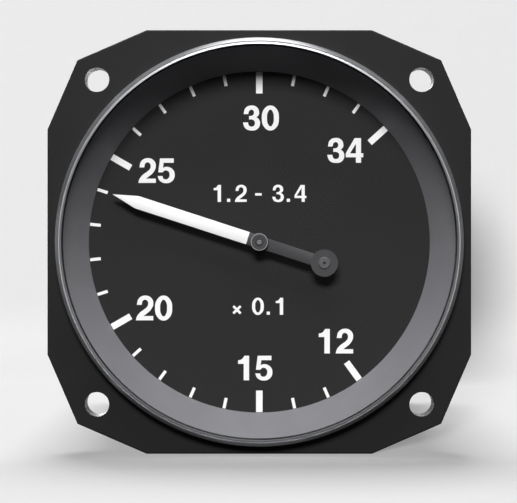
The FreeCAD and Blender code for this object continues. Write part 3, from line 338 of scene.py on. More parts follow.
def finishes(settings):
    """Every finish, by the name of its slot: colours, blotch, grain, roughness and relief."""
    lathe = (0.15 * MM, 0.001 * MM)
    gloss = "Specular IOR Level"
    return {
        # Baked satin enamel, sprayed: a faint orange peel about 0.7 mm across softens its gloss
        "flange_paint": toned(
            "satin_black_enamel", settings.enamel, 0.92, 9 * MM, 0.7 * MM, (0.5, 0.58), 0.003 * MM,
            **{gloss: 0.08},
        ),
        # Wrinkled baked paint on aluminium tube: close bumps break the light into a dull sheen
        "case_paint": toned(
            "baked_black_paint", settings.case, 1.2, 14 * MM, 0.45 * MM, (0.38, 0.52), 0.015 * MM
        ),
        # Polished steel bush: bright wall that catches a crescent of light
        "bush_steel": surface(
            "polished_bush_steel", linear("#F4F4F6"), linear("#DCDCDE"), 4 * MM, 0.3 * MM,
            (0.2, 0.3), 0.0005 * MM, Metallic=0.6,
        ),
        # Clear anodised aluminium, finely turned: lines 0.12 mm apart spread the light round the rim
        "rim_metal": toned(
            "clear_anodised_turned_aluminium", settings.rim, 0.93, 6 * MM, 0.6 * MM, (0.46, 0.52),
            0.0004 * MM, lines=(0.12 * MM, 0.0004 * MM), Metallic=1.0,
        ),
        "glass": window_glass(),
        # Moulded nitrile rubber: dull, dusty black
        "rubber": coated("nitrile_rubber", "#1B1B1C", "#242425", 5 * MM, 0.3 * MM, 0.75, 0.01 * MM),
        # Satin grey anodised cone: the light from above grades it from near black to light grey
        "surround_paint": toned(
            "grey_anodised_surround", settings.surround, 0.94, 8 * MM, 0.3 * MM, (0.5, 0.58),
            0.001 * MM, Metallic=0.04, **{gloss: 0.15},
        ),
        # Dead matt black lacquer, sprayed thin: almost no gloss, with a stipple of 0.2 mm
        "dial_paint": toned(
            "matt_black_lacquer", settings.dial, 0.95, 11 * MM, 0.2 * MM, (0.82, 0.92), 0.0015 * MM,
            **{gloss: 0.1},
        ),
        # Screen printed white ink: opaque, matt, a little uneven where the mesh let go
        "print": toned(
            "white_printing_ink", settings.print_white, 0.96, 3 * MM, 0.15 * MM, (0.6, 0.75),
            0.002 * MM, **{gloss: 0.2},
        ),
        # White enamel on the blade, dip coated: smooth and slightly glossy
        "pointer_paint": toned(
            "white_pointer_enamel", settings.pointer_white, 0.97, 4 * MM, 0.4 * MM, (0.45, 0.55),
            0.001 * MM, **{gloss: 0.3},
        ),
        # Dark grey lacquer on hub, tail and balance disc: satin, with faint turning lines
        "hub_paint": toned(
            "dark_grey_lacquer", settings.pointer_grey, 1.08, 2 * MM, 0.2 * MM, (0.5, 0.62),
            0.001 * MM, lines=(0.1 * MM, 0.0006 * MM), **{gloss: 0.3},
        ),
        # Light grey hairline on the hub's edge and round its centre mark: a painted highlight for the
        # light these edges catch
        "painted_highlight_edge": coated("painted_highlight_hub_edge", "#B4B4B6", "#9A9A9C", 1 * MM, 0.3 * MM, 0.3, 0.0),
        # Black disc in the bottom of a centre drilled by the lathe: painted shade where the hollow lies
        # in shadow
        "centre": coated("painted_shade_centre", "#050505", "#0A0A0A", 1 * MM, 1 * MM, 0.8, 0.0),
        # Rivet peened over and lacquered like the disc, painted a little lighter than the disc round it:
        # a painted highlight on its head
        "rivet": coated("rivet_lacquer_painted_highlight", "#545456", "#4E4E50", 1 * MM, 1 * MM, 0.45, 0.0),
        # Ground steel shaft: smooth, slightly blue
        "shaft_steel": metal("ground_shaft_steel", "#C3C6CA", 0.2, lines=lathe),
        # Hobbed brass wheels: warm, with lathe rings on the faces
        "gear_metal": metal("turned_brass", "#D0A860", 0.28, lines=lathe),
        # Hobbed steel pinions: greyer and duller than the shaft
        "pinion_steel": metal("hobbed_pinion_steel", "#A9ACB0", 0.3),
        # Sintered bronze: brown, porous, dull with oil
        "bearing_bronze": metal("sintered_bronze", "#A9764A", 0.42, grain=0.12 * MM),
        # Milled aluminium plate: broad faint cutter marks
        "plate_metal": metal("milled_aluminium_plate", "#BFC2C4", 0.33, lines=(0.4 * MM, 0.002 * MM)),
        # Turned aluminium pillars: pale, with lathe rings along them
        "pillar_metal": metal("turned_aluminium_pillar", "#C6C8CA", 0.26, lines=lathe),
        # Passivated stainless screws: grey, a little rough
        "screw_steel": metal("passivated_screw_steel", "#A5A6A6", 0.32, grain=0.2 * MM),
        # Plated steel cans: silvery, softly brushed
        "housing_steel": metal("plated_housing_steel", "#B4B5B3", 0.34, lines=(0.2 * MM, 0.001 * MM)),
        # Stacked rotor sheets: dark grey, with an edge every 0.35 mm
        "rotor_steel": metal("laminated_rotor_steel", "#8C8E90", 0.4, lines=(0.35 * MM, 0.004 * MM)),
        # Woven glass laminate under green resist
        "board_laminate": coated(
            "glass_epoxy_laminate", "#2F5A38", "#26492E", 6 * MM, 0.5 * MM, 0.35, 0.004 * MM
        ),
        # Enamelled copper wire: red brown turns that catch the light one by one
        "winding": metal("enamelled_copper_wire", "#A85A2C", 0.3, lines=(0.25 * MM, 0.03 * MM)),
        # Nickel plated cans: bright and faintly yellow
        "can_metal": metal("nickel_plated_can", "#BDBCB6", 0.22),
        # Baked resistor lacquer: tan, with an eggshell gloss
        "resistor_paint": coated(
            "resistor_lacquer", "#B79B74", "#A88C66", 2 * MM, 0.2 * MM, 0.4, 0.002 * MM
        ),
        # Moulded phenolic: dark brown with pale flecks of filler
        "block_plastic": coated(
            "moulded_phenolic", "#3A2E28", "#4A3B32", 1.5 * MM, 0.2 * MM, 0.45, 0.003 * MM
        ),
        # Olive passivated shell of the connector: warm, half dull
        "connector_metal": metal("cadmium_plated_shell", "#8D8A66", 0.38, grain=0.25 * MM),
        # Gold plated contacts: deep yellow and smooth
        "pin_metal": metal("gold_plated_contact", "#E0BC6A", 0.2),
        # Laced sleeve of the loom: off white cloth, dull and uneven
        "wire_sleeve": coated(
            "laced_wire_sleeve", "#D8D4C8", "#C6C1B2", 3 * MM, 0.4 * MM, 0.6, 0.01 * MM
        ),
    }


# Filled by the operator that makes the finishes
FINISH = {}


# Mesh tools


def eased(points, ease):
    """A closed outline with each corner rounded off by a short curve."""
    soft = []
    count = len(points)
    for i, corner in enumerate(points):
        here = Vector(corner)
        before = Vector(points[i - 1]) - here
        after = Vector(points[(i + 1) % count]) - here
        start = here + before.normalized() * min(ease, before.length * 0.45)
        end = here + after.normalized() * min(ease, after.length * 0.45)
        soft += [start, (start + here * 2 + end) / 4, end]
    return [tuple(p) for p in soft]


def smoothed(mesh, degrees=34):
    mesh.shade_smooth()
    mesh.set_sharp_from_angle(angle=math.radians(degrees))
    return mesh


def mesh_from(bm, name):
    bmesh.ops.recalc_face_normals(bm, faces=bm.faces)
    mesh = bpy.data.meshes.new(name)
    bm.to_mesh(mesh)
    bm.free()
    return smoothed(mesh)


def turned(name, profile, steps=STEPS):
    """A turned solid from a closed outline of (radius, place along the axis)."""
    bm = bmesh.new()
    angles = [2 * math.pi * i / steps for i in range(steps)]
    rings = []
    for radius, y in profile:
        if radius < TINY:
            rings.append([bm.verts.new((0, y, 0))])
        else:
            rings.append([
                bm.verts.new((radius * math.cos(a), y, radius * math.sin(a))) for a in angles
            ])
    pairs = list(zip(rings, rings[1:] + rings[:1]))
    for one, other in pairs:
        if len(one) == 1 and len(other) == 1:
            continue
        for i in range(steps):
            j = (i + 1) % steps
            if len(one) == 1:
                bm.faces.new((one[0], other[j], other[i]))
            elif len(other) == 1:
                bm.faces.new((one[i], one[j], other[0]))
            else:
                bm.faces.new((one[i], one[j], other[j], other[i]))
    return mesh_from(bm, name)


def band(inner, outer, start, end):
    """The outline of a plain ring for turned, or of a disc where inner is 0."""
    return ((inner, start), (outer, start), (outer, end), (inner, end))


def flat_piece(name, outline, y_front, y_back, ease):
    """A plate from an outline of (x, z), its front edges rounded by ease."""
    bm = bmesh.new()
    face = bm.faces.new([bm.verts.new((x, y_back, z)) for x, z in outline])
    lifted = bmesh.ops.extrude_face_region(bm, geom=[face])
    raised = [g for g in lifted["geom"] if isinstance(g, bmesh.types.BMVert)]
    bmesh.ops.translate(bm, vec=(0, y_front - y_back, 0), verts=raised)
    # The face may have moved with its points, and then the back is closed again
    flat = [f for f in bm.faces if abs(f.normal.y) > 0.9]
    if not any(f.calc_center_median().y > y_back - TINY for f in flat):
        bm.faces.new([v for v in bm.verts if v not in raised])
    if ease:
        edges = [e for e in bm.edges if all(abs(v.co.y - y_front) < TINY for v in e.verts)]
        bmesh.ops.bevel(bm, geom=edges, offset=ease, segments=2, affect="EDGES", profile=0.5)
    return mesh_from(bm, name)


def moved(mesh, x=0.0, y=0.0, z=0.0, turn=0.0):
    """Turns a mesh counter-clockwise as the dial is read, and then moves it."""
    spin = Matrix.Rotation(-turn, 4, "Y")
    mesh.transform(Matrix.Translation((x, y, z)) @ spin)
    return mesh


def joined(name, meshes):
    bm = bmesh.new()
    for mesh in meshes:
        bm.from_mesh(mesh)
        bpy.data.meshes.remove(mesh)
    mesh = bpy.data.meshes.new(name)
    bm.to_mesh(mesh)
    bm.free()
    return mesh


def piece(mesh, body, slots, replaced=()):
    """An object from a mesh: its finishes, the body it rides on and the nodes it stands for."""
    thing = bpy.data.objects.new(mesh.name, mesh)
    bpy.context.scene.collection.objects.link(thing)
    for slot in slots:
        mesh.materials.append(FINISH[slot])
    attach(thing, body)
    if replaced:
        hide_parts(*replaced)
    return thing


# Numerals: outlines on a grid where a numeral is 100 high, with corners marked

CORNER = "VECTOR"
NUMERALS = {
    "0": (
        ((36, 101), (61, 87), (71, 50), (61, 13), (36, -1), (11, 13), (1, 50), (11, 87)),
        ((36, 84), (46, 74), (50, 50), (46, 26), (36, 16), (26, 26), (22, 50), (26, 74)),
    ),
    "1": (
        (
            (53, 0, CORNER), (31, 0, CORNER), (31, 67, CORNER), (8, 67, CORNER),
            (8, 81, CORNER), (22, 85), (34, 100, CORNER), (53, 100, CORNER),
        ),
    ),
    "2": (
        (
            (4, 63, CORNER), (12, 89), (37, 101), (63, 91), (71, 69), (61, 43), (46, 29),
            (31, 17.5, CORNER), (71, 17.5, CORNER), (71, 0, CORNER), (0, 0, CORNER),
            (4, 15), (17, 32), (37, 47), (47, 57), (50, 70), (46, 80), (37, 84), (28, 79),
            (24, 63, CORNER),
        ),
    ),
    "3": (
        (
            (4, 66, CORNER), (12, 91), (36, 101), (59, 93), (67, 74), (65, 62), (56, 53, CORNER),
            (66, 45), (71, 29), (61, 6), (36, -1), (11, 8), (1, 32, CORNER), (22, 32, CORNER),
            (26, 19), (36, 15), (46, 19), (50, 30), (46, 40), (37, 44), (26, 44, CORNER),
            (26, 58, CORNER), (36, 59), (43, 63), (46, 72), (43, 81), (36, 84), (27, 79),
            (23, 66, CORNER),
        ),
    ),
    "4": (
        (
            (36, 100, CORNER), (62, 100, CORNER), (62, 38, CORNER), (71, 38, CORNER),
            (71, 22, CORNER), (62, 22, CORNER), (62, 0, CORNER), (41, 0, CORNER),
            (41, 22, CORNER), (0, 22, CORNER), (0, 39, CORNER),
        ),
        ((41, 77, CORNER), (41, 38, CORNER), (17, 38, CORNER)),
    ),
    "5": (
        (
            (11, 100, CORNER), (67, 100, CORNER), (67, 82, CORNER), (26, 82, CORNER),
            (23, 62, CORNER), (38, 66), (62, 56), (71, 33), (61, 8), (35, -1), (10, 9),
            (1, 28, CORNER), (21, 28, CORNER), (25, 18), (35, 14.5), (46, 20), (50, 33),
            (46, 46), (36, 51), (28, 49), (22, 43, CORNER), (4, 43, CORNER),
        ),
    ),
    ".": (((0, 0, CORNER), (21, 0, CORNER), (21, 21, CORNER), (0, 21, CORNER)),),
    "-": (((0, 36, CORNER), (40, 36, CORNER), (40, 53, CORNER), (0, 53, CORNER)),),
    "x": (
        (
            (0, 14, CORNER), (16, 30, CORNER), (0, 46, CORNER), (12, 58, CORNER),
            (28, 42, CORNER), (44, 58, CORNER), (56, 46, CORNER), (40, 30, CORNER),
            (56, 14, CORNER), (44, 2, CORNER), (28, 18, CORNER), (12, 2, CORNER),
        ),
    ),
}
GRID = 100
# Widths on the grid with the gap after it: of a digit, and of other characters
FIGURE_CELL = 77
FIGURE_GAP = 6
CELLS = {".": 36, "-": 56, "x": 72, " ": 24}


def numeral_mesh(name, text, height, x, z, relief, tracking=0.0, weight=0.0):
    """A row of numerals centred at (x, z) on the dial, as low relief."""
    curve = bpy.data.curves.new(name, "CURVE")
    curve.dimensions = "2D"
    curve.fill_mode = "BOTH"
    curve.extrude = relief / 2
    curve.offset = weight
    curve.resolution_u = 8
    cells = [CELLS.get(c, FIGURE_CELL) + tracking for c in text]
    start = -(sum(cells) - tracking - FIGURE_GAP) / 2
    for character, cell in zip(text, cells):
        for outline in NUMERALS.get(character, ()):
            spline = curve.splines.new("BEZIER")
            spline.bezier_points.add(len(outline) - 1)
            spline.use_cyclic_u = True
            for point, spot in zip(spline.bezier_points, outline):
                place = Vector((start + spot[0], spot[1] - GRID / 2, 0)) * height / GRID
                point.co = place
                point.handle_left_type = point.handle_right_type = "AUTO" if len(spot) == 2 else CORNER
        start += cell
    flat = bpy.data.objects.new(name, curve)
    bpy.context.scene.collection.objects.link(flat)
    bpy.context.view_layer.update()
    shape = flat.evaluated_get(bpy.context.evaluated_depsgraph_get())
    mesh = bpy.data.meshes.new_from_object(shape)
    mesh.name = name
    bpy.data.objects.remove(flat)
    bpy.data.curves.remove(curve)
    upright = Matrix.Rotation(math.pi / 2, 4, "X")
    mesh.transform(Matrix.Translation((x, DIAL_FACE - relief / 2, z)) @ upright)
    return mesh


def direction(reading, dial):
    """Angle of a reading on the dial, counter-clockwise from +X."""
    return math.pi / 2 - (reading - dial.top) * dial.degrees


# Operators


class Piece(bpy.types.Operator):
    """One piece of the indicator's looks."""

    bl_options = {"REGISTER", "UNDO"}

    def execute(self, context):
        self.make(context.scene)
        return {"FINISHED"}


class INDICATOR_OT_finishes(Piece):
    """Gives every solid its own finish"""

    bl_idname = "indicator.finishes"
    bl_label = "Finishes"

    def make(self, scene):
        FINISH.update(finishes(scene.indicator_finish))
        for part in RECORD["subparts"]:
            mesh = NODES[part["node"]].data
            mesh.materials.clear()
            mesh.materials.append(FINISH[part["material_slot"]])
        # The rivet gets the lighter copy of the disc's lacquer: painted highlight
        NODES["balance_rivet"].data.materials[0] = FINISH["rivet"]
        for node in ("rear_cover", "connector_gasket"):
            soft = NODES[node].modifiers.new("worn_edges", "BEVEL")
            soft.width = 0.2 * MM
            soft.segments = 2
            soft.limit_method = "ANGLE"
            soft.angle_limit = math.radians(60)
            soft.use_clamp_overlap = True
            soft.harden_normals = True


class INDICATOR_OT_rim(Piece):
    """Turned rim with a bevel, a fine dark line and a lip over the glass"""

    bl_idname = "indicator.rim"
    bl_label = "Rim"

    def make(self, scene):
        face = front("rim_ring")
        end = back("rim_ring")
        flange = front("mounting_flange")
        glass = front("window_glass")
        skirt = RIM_RADIUS - 0.2 * MM
        pocket = GLASS_RADIUS + 0.1 * MM
        bevel = RIM_RADIUS - 0.75 * MM
        groove = bevel - 0.22 * MM
        step = face + 0.28 * MM
        floor = step + 0.45 * MM
        shoulder = step + 1.2 * MM
        outline = (
            (skirt, end), (skirt, flange), (RIM_RADIUS, flange), (RIM_RADIUS, shoulder),
            (bevel, step), (bevel, floor), (groove, floor), (groove, step),
            (RIM_WINDOW, face), (RIM_WINDOW, glass), (pocket, glass), (pocket, end),
        )
        piece(turned("rim", outline, steps=288), "case", ["rim_metal"], ["rim_ring"])


class INDICATOR_OT_scale(Piece):
    """White marks of the scale, printed on the dial"""

    bl_idname = "indicator.scale"
    bl_label = "Scale marks"

    def make(self, scene):
        dial = scene.indicator_dial
        outer = DIAL_WINDOW - 0.1 * MM
        marks = []
        for reading in range(dial.lowest, dial.highest + 1):
            main = reading % 5 == 0 or reading in (dial.lowest, dial.highest)
            mark_length = dial.main_length if main else dial.fine_length
            width = dial.main_width if main else dial.fine_width
            outline = eased(band(outer - mark_length, outer, -width / 2, width / 2), 0.05 * MM)
            mark = flat_piece("mark", outline, DIAL_FACE - dial.relief, DIAL_FACE, 0)
            marks.append(moved(mark, turn=direction(reading, dial)))
        piece(smoothed(joined("scale_marks", marks)), "case", ["print"])


class INDICATOR_OT_numerals(Piece):
    """Plain numerals of the scale, and two rows of small numerals in the middle"""

    bl_idname = "indicator.numerals"
    bl_label = "Numerals"

    def make(self, scene):
        dial = scene.indicator_dial
        # Text with its middle as x and z in mm
        spots = (
            ("12", 14.95, -19.6), ("15", -1.0, -24.9), ("20", -20.8, -13.05),
            ("25", -20.3, 14.1), ("30", 0.3, 24.5), ("34", 16.95, 18.1),
        )
        rows = [
            numeral_mesh(f"numeral_{text}", text, dial.numeral, x * MM, z * MM, dial.relief)
            for text, x, z in spots
        ]
        spacing, thinner = 8, -0.05 * MM
        for name, text, z in (("range", "1.2 - 3.4", 9.6), ("factor", "x 0.1", -12.7)):
            rows.append(numeral_mesh(
                name, text, dial.small_numeral, 0, z * MM, dial.relief, spacing, thinner
            ))
        piece(smoothed(joined("numerals", rows)), "case", ["print"])


class INDICATOR_OT_pointer(Piece):
    """Pointer strip: white blade with a tapered end, and a dark grey root, tail and round pad"""

    bl_idname = "indicator.pointer"
    bl_label = "Pointer"

    def make(self, scene):
        rest = direction(REST_READING, scene.indicator_dial)
        reach = spread("pointer_arm", max)
        shoulder = reach - 5.0 * MM
        blade = 1.25 * MM
        tail = 1.175 * MM
        white_start = 2.35 * MM
        pad_middle = 13.4 * MM
        pad = 2.66 * MM
        ease = 0.06 * MM
        white = (
            (white_start, -blade), (shoulder, -blade), (reach, 0), (shoulder, blade),
            (white_start, blade),
        )
        mesh = flat_piece("pointer_blade", white, POINTER_FRONT, POINTER_BACK, ease)
        piece(moved(mesh, turn=rest), "pointer", ["pointer_paint"], ["pointer_arm"])
        root = [
            (0, -tail), (0, -blade), (white_start, -blade), (white_start, blade), (0, blade), (0, tail)
        ]
        start = math.asin(tail / pad)
        count = 40
        turns = [start + (math.pi - start) * 2 * i / count for i in range(count + 1)]
        root += [(pad * math.cos(a) - pad_middle, pad * math.sin(a)) for a in turns]
        mesh = flat_piece("pointer_tail", root, POINTER_FRONT, POINTER_BACK, ease)
        piece(moved(mesh, turn=rest), "pointer", ["hub_paint"])


class INDICATOR_OT_hub(Piece):
    """Turned hub with a painted highlight on its edge, the shaft end, and the balance disc with its rivet
    """

    bl_idname = "indicator.hub"
    bl_label = "Hub and balance disc"

    def make(self, scene):
        bore = 0.78 * MM
        neck = 1.05 * MM
        end = back("pointer_hub")
        edge = 0.14 * MM
        outline = (
            (bore, HUB_FACE), (HUB_RADIUS - edge, HUB_FACE), (HUB_RADIUS, HUB_FACE + edge),
            (HUB_RADIUS, POINTER_FRONT), (neck, POINTER_FRONT), (neck, end), (bore, end),
        )
        piece(turned("hub", eased(outline, 0.03 * MM), 96), "pointer", ["hub_paint"], ["pointer_hub"])
        # A light grey ring just inside the hub's edge, a hair proud of its face: painted highlight
        inner = HUB_RADIUS - edge - 0.08 * MM
        outer = HUB_RADIUS - edge + 0.02 * MM
        line = band(inner, outer, HUB_FACE - 0.005 * MM, HUB_FACE + 0.05 * MM)
        piece(turned("hub_painted_highlight", line, 96), "pointer", ["painted_highlight_edge"])
        face = front("pointer_shaft")
        crown = face - 0.02 * MM
        dimple = face + 0.1 * MM
        base = face + 0.16 * MM
        cap_radius = 0.76 * MM
        cap = (
            (0, dimple), (0.12 * MM, dimple), (0.2 * MM, crown), (0.7 * MM, crown),
            (cap_radius, face + 0.04 * MM), (cap_radius, base), (0, base),
        )
        piece(turned("shaft_cap", cap, 96), "pointer", ["hub_paint"])
        # A light grey ring round the shaft's end: painted highlight
        lip = band(0.25 * MM, 0.33 * MM, face - 0.03 * MM, face)
        piece(turned("shaft_painted_highlight_ring", lip, 64), "pointer", ["painted_highlight_edge"])
        # Black discs in the centres of the shaft and the rivet: painted shade
        self.painted_shade_dot("shaft_painted_shade", 0, 0, face + 0.08 * MM, 0.13 * MM)
        low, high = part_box("balance_rivet")
        middle = (low + high) / 2
        self.painted_shade_dot("rivet_painted_shade", middle.x, middle.z, low.y + 0.02 * MM, 0.24 * MM)

    def painted_shade_dot(self, name, x, z, y, radius):
        """A black disc in the bottom of a centre drilled by the lathe: painted shade of the hollow."""
        mark = turned(name, band(0, radius, y, y + 0.02 * MM), 32)
        piece(moved(mark, x=x, z=z), "pointer", ["centre"])


def carved(mesh, cutters):
    """A mesh with others cut out of it."""
    thing = bpy.data.objects.new(mesh.name, mesh)
    bpy.context.scene.collection.objects.link(thing)
    tools = []
    for cutter in cutters:
        tool = bpy.data.objects.new("cutter", cutter)
        bpy.context.scene.collection.objects.link(tool)
        tools.append(tool)
        cut = thing.modifiers.new("cut", "BOOLEAN")
        cut.operation = "DIFFERENCE"
        cut.solver = "EXACT"
        cut.object = tool
    bpy.context.view_layer.update()
    shape = thing.evaluated_get(bpy.context.evaluated_depsgraph_get())
    result = bpy.data.meshes.new_from_object(shape)
    result.name = mesh.name
    for tool in tools:
        bpy.data.objects.remove(tool)
    bpy.data.objects.remove(thing)
    return smoothed(result)


def screw_mesh(node, spot, shank, head, height, recess):
    """A pan head screw put in from the back, with a cross recess."""
    tip = front(node)
    point = 0.3 * MM
    top = back(node)
    seat = top - height
    outline = (
        (0, tip), (shank - point, tip), (shank, tip + point), (shank, seat), (head, seat),
        (head, seat + height * 0.5), (head * 0.86, top - height * 0.14), (head * 0.5, top), (0, top),
    )
    body = turned("screw", outline, 64)
    width = recess * 0.16
    cross = band(-recess, recess, -width, width)
    arms = [
        moved(flat_piece("arm", cross, top - height * 0.55, top + MM, 0), turn=turn)
        for turn in (0, math.pi / 2)
    ]
    # Each screw stopped at a turn of its own, which follows from its place
    stopped = spot[0] * 900 + spot[1] * 370
    return moved(carved(body, arms), x=spot[0], z=spot[1], turn=stopped)


class INDICATOR_OT_screws(Piece):
    """Cross recess screws of the rear cover and the connector"""

    bl_idname = "indicator.screws"
    bl_label = "Screws at the back"

    def make(self, scene):
        # Node, radius of the shank, radius and height of the head
        rows = (
            ("cover_screws", 1.2 * MM, 2.3 * MM, 1.7 * MM),
            ("connector_screws", 1.25 * MM, 2.2 * MM, 1.4 * MM),
        )
        for node, shank, head, height in rows:
            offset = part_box(node)[1].x - head
            spots = [(x * offset, z * offset) for x in (-1, 1) for z in (-1, 1)]
            screws = [screw_mesh(node, spot, shank, head, height, head * 0.62) for spot in spots]
            piece(smoothed(joined(f"{node}_recessed", screws)), "case", ["screw_steel"], [node])


class INDICATOR_OT_connector(Piece):
    """Connector shell: square flange with rounded corners, threaded barrel and key rib"""

    bl_idname = "indicator.connector"
    bl_label = "Connector shell"

    def make(self, scene):
        low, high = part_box("connector_shell")
        half = high.x
        seat = back("connector_gasket")
        plate = seat + 2.0 * MM
        bore = 9.0 * MM
        corner = 2.4 * MM
        outline = []
        for quarter in range(4):
            cx = (half - corner) * (1 if quarter in (0, 3) else -1)
            cz = (half - corner) * (1 if quarter in (0, 1) else -1)
            for i in range(9):
                a = quarter * math.pi / 2 + math.pi / 2 * i / 8
                outline.append((cx + corner * math.cos(a), cz + corner * math.sin(a)))
        square = flat_piece("square", outline, plate, seat, 0.2 * MM)
        through = (seat - MM, plate + MM)
        cutters = [turned("hole", band(0, bore, *through), 96)]
        screw_head = 2.2 * MM
        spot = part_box("connector_screws")[1].x - screw_head
        drill = band(0, 1.3 * MM, *through)
        cutters += [
            moved(turned("drill", drill, 32), x=x * spot, z=z * spot) for x in (-1, 1) for z in (-1, 1)
        ]
        barrel = self.barrel(high.y, plate, bore, 10.5 * MM)
        tail = turned("tail", band(bore, 10.0 * MM, low.y, seat), 96)
        rib = band(-1.0 * MM, 1.0 * MM, bore - 1.0 * MM, bore + 0.2 * MM)
        key = flat_piece("key", rib, high.y - 8.4 * MM, high.y, 0)
        parts = [carved(square, cutters), barrel, tail, key]
        shell = smoothed(joined("connector_threaded_shell", parts), 30)
        piece(shell, "case", ["connector_metal"], ["connector_shell"])

    def barrel(self, end, start, bore, crest):
        """A tube whose outside carries a coarse triple thread with run-outs at both ends."""
        steps, rows = 144, 110
        starts, pitch, depth = 3, 1.8 * MM, 0.5 * MM
        run_out = 0.5 * MM
        chamfer = 0.25 * MM
        bm = bmesh.new()
        angles = [2 * math.pi * i / steps for i in range(steps)]
        rings = []
        for row in range(rows + 1):
            y = start + (end - start) * row / rows
            rise = (y - start - 1.0 * MM) / run_out
            fall = (end - y - 0.3 * MM) / run_out
            fade = min(1.0, max(0.0, rise), max(0.0, fall))
            ring = []
            for a in angles:
                wave = ((y / pitch) + starts * a / (2 * math.pi)) % 1.0
                # Flat crests and roots with slopes between them
                dip = min(1.0, max(0.0, 1.6 - abs(wave - 0.5) * 4.4))
                radius = crest - depth * dip * fade
                if end - y < chamfer:
                    radius = crest - (chamfer - (end - y))
                ring.append(bm.verts.new((radius * math.cos(a), y, radius * math.sin(a))))
            rings.append(ring)
        for y in (end, start):
            rings.append([bm.verts.new((bore * math.cos(a), y, bore * math.sin(a))) for a in angles])
        for one, other in zip(rings, rings[1:] + rings[:1]):
            for i in range(steps):
                j = (i + 1) % steps
                bm.faces.new((one[i], one[j], other[j], other[i]))
        return mesh_from(bm, "barrel")


def operators():
    return Piece.__subclasses__()


# Stage

SHEET_REACH = 1.5
# Grey that the paper's own lamps bring to the backdrop's tone
PAPER_TONE = 0.45
# How much of the pale background bright metal mirrors
PALE_IN_METAL = 0.25


def area_lamp(name, azimuth, elevation, distance, width, height, level):
    """A soft lamp aimed at the dial. Level 1 lights a facing surface as its colour is written."""
    light = bpy.data.lights.new(name, "AREA")
    light.shape = "RECTANGLE"
    light.size = width
    light.size_y = height
    light.energy = level * (math.pi * distance) ** 2
    lamp = bpy.data.objects.new(name, light)
    turn, rise = math.radians(azimuth), math.radians(elevation)
    way = Vector((math.sin(turn) * math.cos(rise), -math.cos(turn) * math.cos(rise), math.sin(rise)))
    lamp.location = way * distance
    lamp.rotation_mode = "QUATERNION"
    lamp.rotation_quaternion = (-way).to_track_quat("-Z", "Y")
    bpy.context.scene.collection.objects.link(lamp)
    return lamp


def seen(tree, glossy):
    """How far a ray shows the pale background: fully to the eye and through glass, less in metal."""
    ray = add(tree, "ShaderNodeLightPath")
    plain = add(
        tree,
        "ShaderNodeMath",
        {0: (ray, "Is Camera Ray"), 1: (ray, "Is Transmission Ray")},
        operation="MAXIMUM",
    )
    return add(
        tree,
        "ShaderNodeMath",
        {0: (ray, "Is Glossy Ray"), 1: glossy, 2: (plain, "Value")},
        operation="MULTIPLY_ADD",
    )


def backdrop_paper(settings):
    """Matt pale paper: even, with a faint fibre.

    Its back is clear, so that the rear can be seen. It throws little light back on the part, so
    that the top of the surround stays as dark as it is over a dark panel.
    """
    material = new_material("pale_backdrop_paper")
    tone = mottled(material, 3 * MM, 0.98 * PAPER_TONE, PAPER_TONE)
    ray = add(material, "ShaderNodeLightPath")
    place = add(material, "ShaderNodeNewGeometry")
    slope = add(material, "ShaderNodeSeparateXYZ", {"Vector": (place, "Normal")})
    oblique = (slope, "Y")
    for _ in range(2):
        sides = {0: oblique, 1: (slope, "Z")}
        oblique = (add(material, "ShaderNodeMath", sides, operation="MULTIPLY"), "Value")
    # Less for metal and for matt things, and less on the bend, which faces both of the paper's lamps
    level = 1.0
    for source, weight in (
        ((ray, "Is Glossy Ray"), -0.75), ((ray, "Is Diffuse Ray"), -0.97), (oblique, 0.57)
    ):
        terms = {0: source, 1: weight, 2: level}
        level = (add(material, "ShaderNodeMath", terms, operation="MULTIPLY_ADD"), "Value")
    tone = add(material, "ShaderNodeMath", {0: (tone, "Result"), 1: level}, operation="MULTIPLY")
    paper = add(material, "ShaderNodeBsdfDiffuse", {"Color": (tone, "Value"), "Roughness": 0.0})
    pale = list(settings.backdrop)
    amount = add(
        material,
        "ShaderNodeMath",
        {0: (seen(material, 0.3), "Value"), 1: settings.lift},
        operation="MULTIPLY",
    )
    glow = add(material, "ShaderNodeEmission", {"Color": pale, "Strength": (amount, "Value")})
    lit = add(material, "ShaderNodeAddShader", {0: (paper, "BSDF"), 1: (glow, "Emission")})
    # Far from the part the lamps fade, and the paper keeps its tone to the eye
    way = add(material, "ShaderNodeVectorMath", {0: (place, "Position")}, operation="LENGTH")
    far = add(
        material,
        "ShaderNodeMapRange",
        {"Value": (way, "Value"), "From Min": 160 * MM, "From Max": 420 * MM},
        interpolation_type="SMOOTHSTEP",
    )
    amount = (seen(material, PALE_IN_METAL), "Value")
    even = add(material, "ShaderNodeEmission", {"Color": pale, "Strength": amount})
    lit = add(
        material,
        "ShaderNodeMixShader",
        {0: (far, "Result"), 1: (lit, "Shader"), 2: (even, "Emission")},
    )
    clear = add(material, "ShaderNodeBsdfTransparent")
    mixed = add(
        material,
        "ShaderNodeMixShader",
        {0: (place, "Backfacing"), 1: (lit, "Shader"), 2: (clear, "BSDF")},
    )
    return output(material, (mixed, "Shader"))


